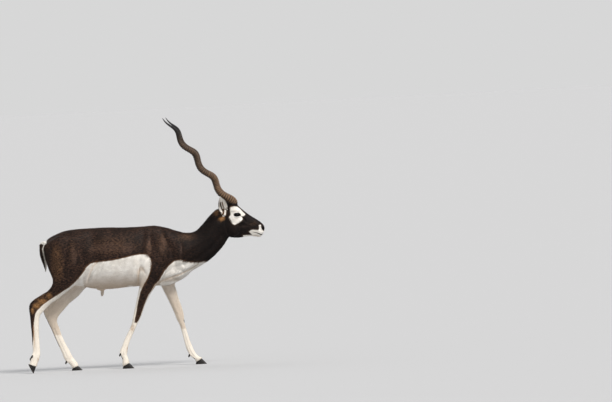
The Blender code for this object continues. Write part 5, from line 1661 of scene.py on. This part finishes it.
def horn_group():
    """A horn along its coiled line, with its rings, from a straight line that is bent and swept."""
    sockets = dict.fromkeys(("Base", "Along", "Forward", "Outward"), "Vector")
    sizes = ("Length", "Coil", "Bow", "Pitch", "Phase", "Rings", "Ringed", "Ring Height", "Sunk")
    sockets |= dict.fromkeys(sizes, "Float") | {"Paint": "Material"}
    group, tree, wires, close = geometry_group("horn", sockets)
    line = tree.add("GeometryNodeCurvePrimitiveLine", None, {"End": (0.0, 0.0, 1.0)})
    line = tree.add("GeometryNodeResampleCurve", None, {"Curve": line, "Count": 420})
    share = tree.add("GeometryNodeSplineParameter", None, None, "Factor")
    t = share * (1.0 + wires["Sunk"]) - wires["Sunk"]
    real = t.reckon("MAXIMUM", 0.0)
    turn = (t * wires["Length"] - wires["Phase"]) * (2 * math.pi) / wires["Pitch"]
    taper = 1 - (t - 0.75).reckon("MAXIMUM", 0.0) * 1.8
    swing = wires["Coil"] * (t + 0.75).reckon("MINIMUM", 1.0) * taper
    bow = wires["Bow"] * (real ** 0.55 * math.pi).reckon("SINE")
    ahead = swing * turn.reckon("COSINE") - bow
    place = wires["Base"]
    for way, size in (
        (wires["Along"], t * wires["Length"]),
        (wires["Forward"], ahead),
        (wires["Outward"], swing * turn.reckon("SINE")),
    ):
        place = tree.total(place, tree.scaled(way, size))
    line = tree.add("GeometryNodeSetPosition", None, {"Geometry": line, "Position": place})
    count = ((real / wires["Ringed"]) ** 1.064 + (t - real) / wires["Ringed"]) * wires["Rings"]
    jitter = tree.add("ShaderNodeTexNoise", {"noise_dimensions": "1D"}, {"W": count * 0.7, "Scale": 1.0})
    wave = ((count + jitter * 0.5) * (2 * math.pi)).reckon("SINE") * 0.5 + 0.5
    fade = (1 - real.step(0.66, 0.82)) * t.step(-0.042, -0.030)
    ring = wave.step(0.30, 1.00) * fade
    tone = wave.step(0.08, 0.62) * fade
    profile = tree.add("ShaderNodeFloatCurve", None, {"Value": (t + HORN_LEAD) / (1 + HORN_LEAD)})
    curve = profile.socket.node.mapping.curves[0]
    for i, (way, radius) in enumerate(HORN_RADII):
        spot = (way + HORN_LEAD) / (1 + HORN_LEAD), radius / HORN_WIDEST
        if i in (0, len(HORN_RADII) - 1):
            curve.points[0 if i == 0 else -1].location = spot
        else:
            curve.points.new(*spot)
    profile.socket.node.mapping.update()
    radius = profile * HORN_WIDEST + (ring - 0.45) * wires["Ring Height"] * (1 - real * 0.45)
    for name, value in (("ring", tone), ("along", t)):
        line = tree.kept(line, name, value, "FLOAT", "POINT")
    circle = tree.add("GeometryNodeCurvePrimitiveCircle", None, {"Resolution": 24, "Radius": 1.0})
    inputs = {"Curve": line, "Profile Curve": circle, "Scale": radius, "Fill Caps": True}
    swept = tree.add("GeometryNodeCurveToMesh", None, inputs)
    swept = tree.add("GeometryNodeSetShadeSmooth", None, {"Geometry": swept})
    close(swept, wires["Paint"])
    return group


def finish_horn():
    """Dark keratin: lighter with wear on the rings, with painted light on the side towards the key light and
    painted shade away from it; black in the valleys, with fine lines along the horn.
    """
    paint, tree, shader = material("horn")
    place = tree.add("ShaderNodeTexCoord", None, None, "Object")
    broad = tree.noise(place, 30.0, 4.0)
    lines = tree.noise(tree.stretched(place, (1.0, 1.0, 0.18)), 700.0, 3.0)
    ring = tree.attribute("ring")
    along = tree.attribute("along")
    turned = tree.add("ShaderNodeNewGeometry", None, None, "Normal")
    # Painted light and shade: the rings are lighter on the side that faces the key light and darker away
    # from it.
    lit = tree.dot(turned, PAINTED_LIGHT_SIDE).step(-0.45, 0.65)
    worn_and_lit = ring * (0.60 + broad) * (0.60 + lines * 0.8) * (0.22 + lit * 0.78)
    worn_and_lit = (worn_and_lit * (1 - along.step(0.12, 0.50) * 0.62)).clamped()
    colour = tree.blend(worn_and_lit, (0.0115, 0.0076, 0.0056), (0.195, 0.112, 0.059))
    tip = along.step(0.78, 0.92)
    colour = tree.blend(tip, colour, (0.0150, 0.0140, 0.0150))
    colour = tree.blend(1 - along.step(-0.036, -0.014), colour, (0.0080, 0.0062, 0.0058))
    height = lines * 0.6 + broad * 0.4
    bump = tree.add("ShaderNodeBump", None, {"Strength": 0.5, "Distance": 0.0008, "Height": height})
    rough = 0.38 + lines * 0.25 - tip * 0.10
    inputs = {"Base Color": colour, "Roughness": rough, "Specular IOR Level": 0.28, "Normal": bump}
    tree.fill(shader, inputs)
    return paint


def build_horns():
    """Both horns."""
    group = horn_group()
    paint = finish_horn()
    horns = []
    for side, word in ((1, "left"), (-1, "right")):
        base, tip = mirrored(HORN_BASE, side), mirrored(HORN_TIP, side)
        along = (tip - base).normalized()
        forward = Vector((1, 0, 0))
        forward = (forward - forward.dot(along) * along).normalized()
        outward = along.cross(forward)
        if outward.y * side < 0:
            outward = -outward
        length = (tip - base).length
        values = {
            "Base": base,
            "Along": along,
            "Forward": forward,
            "Outward": outward,
            "Length": length,
            "Coil": HORN_COIL,
            "Bow": HORN_BOW,
            "Pitch": HORN_PITCH,
            "Phase": HORN_PHASE,
            "Rings": HORN_RINGS,
            "Ringed": HORN_RINGED,
            "Ring Height": RING_HEIGHT,
            "Sunk": HORN_SUNK / length,
            "Paint": paint,
        }
        horn = grow("horn_shown_" + word, bpy.data.meshes.new("seed_" + word), group, values)
        fix_normals(horn.data)
        horns.append((horn, "horn_" + word))
    return horns


def fix_normals(mesh):
    """Merges doubles and turns every face outwards."""
    bm = bmesh.new()
    bm.from_mesh(mesh)
    bmesh.ops.remove_doubles(bm, verts=bm.verts, dist=1e-6)
    bmesh.ops.recalc_face_normals(bm, faces=bm.faces)
    bm.to_mesh(mesh)
    bm.free()


def claw_loft(foot, side, inner):
    """One hoof: a pointed sole on the ground and a wall that slopes back to the coronet."""
    heel, toe, out, height, heel_height, set_back, pitch = foot
    length = toe - heel
    keys = [
        (0.00, 0.0, 0.0, 0.86),
        (0.06, 0.0, 0.01 * set_back, 0.95),
        (0.28, 0.1 * CORONET_BACK, 0.25 * set_back, 1.0),
        (0.55, 0.3 * CORONET_BACK, 0.52 * set_back, 1.0),
        (0.85, 0.8 * CORONET_BACK, 0.84 * set_back, 0.94),
        (1.00, CORONET_BACK, set_back, 0.88),
    ]
    rings = []
    for level, back, front, wide in spread_keys(keys, 4):
        loop = []
        for i in range(32):
            swing = 2 * math.pi * i / 32
            near = (1 + math.cos(swing)) / 2
            x = back + (length - back - front) * near
            rise = level * (heel_height + (height - heel_height) * near)
            bulge = math.copysign(abs(math.sin(swing)) ** 0.85, math.sin(swing)) * (1 - 0.42 * near**2)
            loop.append((x, 0.5 * HOOF_WIDTH * wide * bulge, rise))
        rings.append(loop)
    claw = loft("claw", rings)
    keep_values(claw.data, {"level": [p[2] / height for ring in rings for p in ring]})
    sideways = side * (out + (-1 if inner else 1) * (HOOF_WIDTH + CLEFT) / 2)
    if pitch:
        tip = Matrix.Translation((-length, 0, 0))
        turn = Matrix.Rotation(math.radians(pitch), 4, "Y") @ tip
        place = Matrix.Translation((toe, sideways, -TOE_FLAT))
    else:
        turn = Matrix.Rotation(math.radians(HOOF_SPLAY) * side * (-1 if inner else 1), 4, "Z")
        place = Matrix.Translation((heel, sideways, 0))
    claw.data.transform(place @ turn)
    return claw


def spur_loft(centre):
    """One dewclaw: a short blunt claw that points down and back from inside the leg."""
    x, y, z = centre
    keys = [
        (0.0085, 0.0105, 0.0026),
        (0.0060, 0.0080, 0.0046),
        (0.0030, 0.0040, 0.0056),
        (0.0008, -0.0010, 0.0056),
        (-0.0012, -0.0062, 0.0044),
        (-0.0022, -0.0096, 0.0024),
        (-0.0025, -0.0108, 0.0008),
    ]
    rings = []
    swings = [2 * math.pi * i / 20 for i in range(20)]
    for ahead, up, radius in spread_keys(keys, 3):
        middle, wide = x + ahead, 0.9 * radius
        rings.append([(middle + radius * math.cos(s), y + wide * math.sin(s), z + up) for s in swings])
    spur = loft("spur", rings[::-1])
    keep_values(spur.data, {"level": [0.6] * len(spur.data.vertices)})
    return spur


def finish_hoof():
    """Black horn with growth lines round it, dusty low down."""
    paint, tree, shader = material("hoof")
    place = tree.add("ShaderNodeTexCoord", None, None, "Object")
    level = tree.attribute("level")
    broad = tree.noise(place, 90.0, 3.0)
    bands = ((level * 6.0 + broad * 1.4) * (2 * math.pi)).reckon("SINE") * 0.5 + 0.5
    dust = (1 - level.step(0.0, 0.5)) * broad.step(0.4, 0.7)
    colour = tree.blend(bands * 0.35, (0.0080, 0.0070, 0.0068), (0.020, 0.0165, 0.0145))
    colour = tree.blend(dust * 0.40, colour, (0.085, 0.070, 0.058))
    bump = tree.add("ShaderNodeBump", None, {"Strength": 0.22, "Distance": 0.0004, "Height": bands})
    rough = 0.36 + broad * 0.22
    inputs = {"Base Color": colour, "Roughness": rough, "Specular IOR Level": 0.30, "Normal": bump}
    tree.fill(shader, inputs)
    return paint


def build_feet():
    """The hooves and dewclaws of every foot."""
    paint = finish_hoof()
    pieces = []
    for leg, foot in FEET.items():
        side = LEGS[leg][1]
        for inner in (False, True):
            word = "inner" if inner else "outer"
            claw = claw_loft(foot, side, inner)
            if foot[-1]:
                below = Matrix.Translation((foot[1], 0, -0.05))
                ground = block(below @ Matrix.Diagonal((0.30, 0.30, 0.10, 1)))
                combine(claw, ground, "DIFFERENCE")
            x, out, z = DEWCLAWS[leg][inner]
            spur = spur_loft((x, side * out, z))
            for thing, name in ((claw, "hoof_"), (spur, "dewclaw_")):
                node = name + leg + "_" + word
                thing.name = node.replace("_", "_shown_", 1)
                thing.data.materials.clear()
                thing.data.materials.append(paint)
                fix_normals(thing.data)
                thing.data.shade_smooth()
                pieces.append((thing, node))
    return pieces


def finish_eye():
    """A near-black wet eye: a brown iris and a wide dark pupil under a smooth, shiny surface."""
    paint, tree, shader = material("eye")
    across, up = tree.attribute("across"), tree.attribute("up")
    place = tree.add("ShaderNodeTexCoord", None, None, "Object")
    streak = tree.noise(place, 500.0, 3.0)
    pupil = ((across / 0.0085) ** 2.0 + (up / 0.0042) ** 2.0).step(0.85, 1.1)
    iris = ((across / 0.0135) ** 2.0 + (up / 0.0118) ** 2.0).step(0.90, 1.05)
    colour = tree.blend(streak, (0.0060, 0.0038, 0.0028), (0.0120, 0.0070, 0.0045))
    colour = tree.blend(pupil, (0.0020, 0.0028, 0.0060), colour)
    colour = tree.blend(iris, colour, (0.0022, 0.0018, 0.0018))
    tree.fill(shader, {"Base Color": colour, "Roughness": 0.06, "Specular IOR Level": 0.14})
    return paint


def build_eyes():
    """Both eyeballs, each with a cornea that stands a little out of it."""
    paint = finish_eye()
    eyes = []
    for side, word in ((1, "left"), (-1, "right")):
        eye = ball("eye_shown_" + word, (0, 0, 0), (EYE_RADIUS,) * 3, 0, 48, 32)
        eye.data.transform(Matrix.Rotation(math.radians(90), 4, "X"))
        points = coords(eye.data)
        wide = np.hypot(points[:, 0], points[:, 2])
        front = points[:, 1] < 0
        points[:, 1] -= np.where(front, 0.0010 * (1 - smooth_step(wide, 0.004, 0.0125)), 0)
        values = {"across": points[:, 0], "up": np.where(front, points[:, 2], 1.0)}
        set_coords(eye.data, points)
        keep_values(eye.data, values)
        eye.data.transform(eye_place(side))
        fix_normals(eye.data)
        eye.data.materials.append(paint)
        eye.data.shade_smooth()
        eyes.append((eye, "eye_" + word))
    return eyes


def build_studio():
    """A pale floor, soft lights and the camera of the photograph."""
    bpy.ops.mesh.primitive_plane_add(size=600, location=(0, 0, 0))
    floor = bpy.context.object
    floor.name = "floor"
    paint, tree, shader = material("floor")
    tree.fill(shader, {"Base Color": (0.466, 0.471, 0.482, 1), "Roughness": 0.9})
    floor.data.materials.append(paint)
    world = bpy.data.worlds.new("studio")
    world.use_nodes = True
    sky = world.node_tree.nodes["Background"].inputs
    sky["Color"].default_value = (1.0, 1.0, 1.0, 1)
    sky["Strength"].default_value = 0.68
    bpy.context.scene.world = world
    for name, toward, wide, power, tint in (
        ("key", (0.62, -0.85, 1.15), 20, 2.6, (1.0, 0.965, 0.92)),
        ("back", (-0.6, 0.8, 0.9), 40, 0.55, (0.96, 0.98, 1.0)),
    ):
        lamp = bpy.data.lights.new(name, "SUN")
        lamp.angle = math.radians(wide)
        lamp.energy = power
        lamp.color = tint
        light = bpy.data.objects.new(name, lamp)
        light.location = Vector(toward) * 6
        light.rotation_euler = Vector(toward).to_track_quat("Z", "Y").to_euler()
        bpy.context.scene.collection.objects.link(light)
    bpy.context.scene.view_settings.view_transform = "Standard"
    yaw = math.radians(CAMERA_YAW)
    rise = math.atan2(CAMERA_HEIGHT - CAMERA_TARGET.z, CAMERA_DISTANCE)
    back = Vector((math.sin(yaw) * math.cos(rise), -math.cos(yaw) * math.cos(rise), math.sin(rise)))
    lens = bpy.data.cameras.new("camera")
    lens.sensor_width = SENSOR_WIDTH
    lens.lens = SENSOR_WIDTH * CAMERA_DISTANCE / (FRAME_WIDTH * PIXEL)
    lens.clip_start, lens.clip_end = 0.5, 400
    camera = bpy.data.objects.new("camera", lens)
    camera.location = CAMERA_TARGET + back * CAMERA_DISTANCE
    camera.rotation_mode = "QUATERNION"
    roll = Quaternion((0, 0, 1), math.radians(CAMERA_ROLL))
    camera.rotation_quaternion = back.to_track_quat("Z", "Y") @ roll
    bpy.context.scene.collection.objects.link(camera)
    bpy.context.scene.camera = camera


SPINES = all_spines()


def main():
    """Dresses the whole animal."""
    skin, face_region = build_skin()
    coats = build_coat(skin, face_region)
    skin.data.materials.clear()
    skin.data.materials.append(finish_skin())
    flesh = ["torso", "neck", "head", "tail", "ear_left", "ear_right"]
    flesh += ["leg_" + leg for leg in LEGS]
    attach(skin, "root")
    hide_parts(*flesh)
    for piece, slot in coats:
        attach(piece, "root")
    for pieces, slot in ((build_horns(), "horn"), (build_feet(), "hoof"), (build_eyes(), "eye")):
        for piece, node in pieces:
            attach(piece, "root")
            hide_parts(node)
    build_studio()


main()
